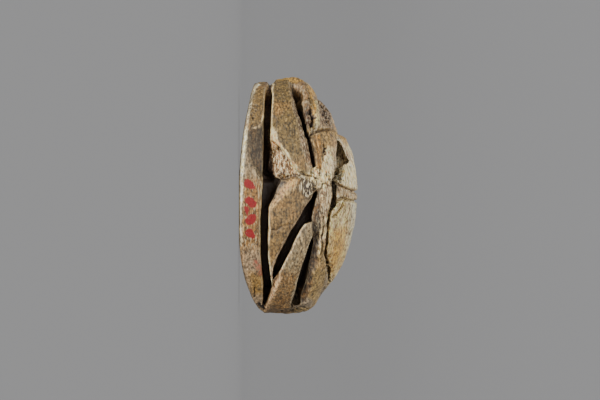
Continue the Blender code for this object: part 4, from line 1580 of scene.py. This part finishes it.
@dataclass
class Studio:
    """A pale sweep of paper, soft lamps and the camera at the photograph's angle, in metres."""

    picture_width: float = PICTURE_PIXELS / PIXELS_PER_MM * MM
    view_centre: tuple[float, float] = (0.000387, 0.005245)
    eye_height: float = 0.0005
    lens: float = 240.0
    sensor: float = 36.0
    nearest_seen: float = 0.001
    floor_front: float = -0.9
    floor_back: float = 0.45
    floor_half: float = 1.0
    bend: float = 0.18
    wall: float = 0.6
    bend_steps: int = 12
    card_centre: tuple[float, float, float] = (0.0, 0.00425, -0.0002)
    card_half: tuple[float, float] = (0.011, 0.00475)
    surround: str = "dedddb"
    surround_strength: float = 0.3
    lamps: tuple[SoftLamp, ...] = (
        SoftLamp("key_lamp", (-0.36, -0.80, -0.82), 0.35, 17.0),
        SoftLamp("front_fill", (-0.22, -1.87, 1.65), 1.5, 40.0),
        SoftLamp("high_fill", (-0.5, 1.2, 2.4), 2.0, 33.0),
    )

    def build(self) -> None:
        """Sets up the paper, the light and the camera."""
        sheet = DrawingPaper().material()
        self.lay_paper(sheet)
        self.lay_card(sheet)
        self.light()
        self.place_camera()
        LOG.info("studio: %d lamps, %.0f mm lens", len(self.lamps), self.lens)

    def lay_plane(
        self, name: str, centre: tuple[float, float, float], half: tuple[float, float]
    ) -> bpy.types.Object:
        """Lays one flat rectangle.

        Args:
            name: its name in the scene.
            centre: the place of its middle.
            half: half of its length along X and along Y.

        Returns:
            The rectangle, which is the active object.
        """
        bpy.ops.object.select_all(action="DESELECT")
        bpy.ops.mesh.primitive_plane_add(size=2, location=centre)
        plane = bpy.context.object
        plane.name = name
        plane.scale = (*half, 1)
        bpy.ops.object.transform_apply(location=True, scale=True)
        return plane

    def lay_paper(self, sheet: bpy.types.Material) -> None:
        """Lays a floor that bends up into a far wall.

        Args:
            sheet: the paper's finish.
        """
        middle = (self.floor_front + self.floor_back) / 2
        half = (self.floor_half, (self.floor_back - self.floor_front) / 2)
        paper = self.lay_plane("paper_sweep", (0, middle, 0), half)
        bpy.ops.object.mode_set(mode="EDIT")
        bpy.ops.mesh.select_mode(type="EDGE")
        bpy.ops.mesh.select_all(action="DESELECT")
        bpy.ops.object.mode_set(mode="OBJECT")
        back = self.floor_back - MM
        for edge in paper.data.edges:
            edge.select = all(paper.data.vertices[end].co.y > back for end in edge.vertices)
        bpy.ops.object.mode_set(mode="EDIT")
        turn = math.pi / 2 / self.bend_steps
        for step in range(self.bend_steps):
            rise = (math.cos(step * turn) - math.cos((step + 1) * turn)) * self.bend
            run = (math.sin((step + 1) * turn) - math.sin(step * turn)) * self.bend
            bpy.ops.mesh.extrude_region_move(TRANSFORM_OT_translate={"value": (0, run, rise)})
        bpy.ops.mesh.extrude_region_move(TRANSFORM_OT_translate={"value": (0, 0, self.wall)})
        bpy.ops.object.mode_set(mode="OBJECT")
        bpy.ops.object.shade_smooth()
        paper.visible_shadow = False
        paper.data.materials.append(sheet)

    def lay_card(self, sheet: bpy.types.Material) -> None:
        """Lays a card under the floor, where the low lamp would light the piece's far rim from below.

        Args:
            sheet: the card's finish.
        """
        card = self.lay_plane("shade_card", self.card_centre, self.card_half)
        card.visible_camera = False
        card.data.materials.append(sheet)

    def light(self) -> None:
        """Hangs the lamps and sets a soft grey surround."""
        target = Vector((0, 0, self.view_centre[1]))
        for lamp in self.lamps:
            lamp.hang(target)
        world = bpy.data.worlds.new("soft_room")
        bpy.context.scene.world = world
        world.use_nodes = True
        background = world.node_tree.nodes["Background"]
        background.inputs["Color"].default_value = linear(self.surround)
        background.inputs["Strength"].default_value = self.surround_strength

    def place_camera(self) -> None:
        """Looks at the flank along +Y, turned so that the head is up and the back to the right.

        The eye is just over the paper, which it sees edge on, and a lens shift centres the piece.
        """
        camera = bpy.data.cameras.new("flank_view")
        camera.lens = self.lens
        camera.sensor_width = self.sensor
        camera.clip_start = self.nearest_seen
        camera.shift_x = (self.view_centre[1] - self.eye_height) / self.picture_width
        holder = bpy.data.objects.new("flank_view", camera)
        bpy.context.scene.collection.objects.link(holder)
        right, up, back = Vector((0, 0, 1)), Vector((-1, 0, 0)), Vector((0, -1, 0))
        turned = Matrix((right, up, back)).transposed().to_4x4()
        distance = self.picture_width * self.lens / self.sensor
        turned.translation = Vector((self.view_centre[0], -distance, self.eye_height))
        holder.matrix_world = turned
        bpy.context.scene.camera = holder


def main() -> None:
    """Builds the carving and the studio, and reports each."""
    logging.basicConfig(level=logging.INFO, format="%(name)s %(message)s")
    Carving().build()
    Studio().build()


if __name__ == "__main__":
    main()
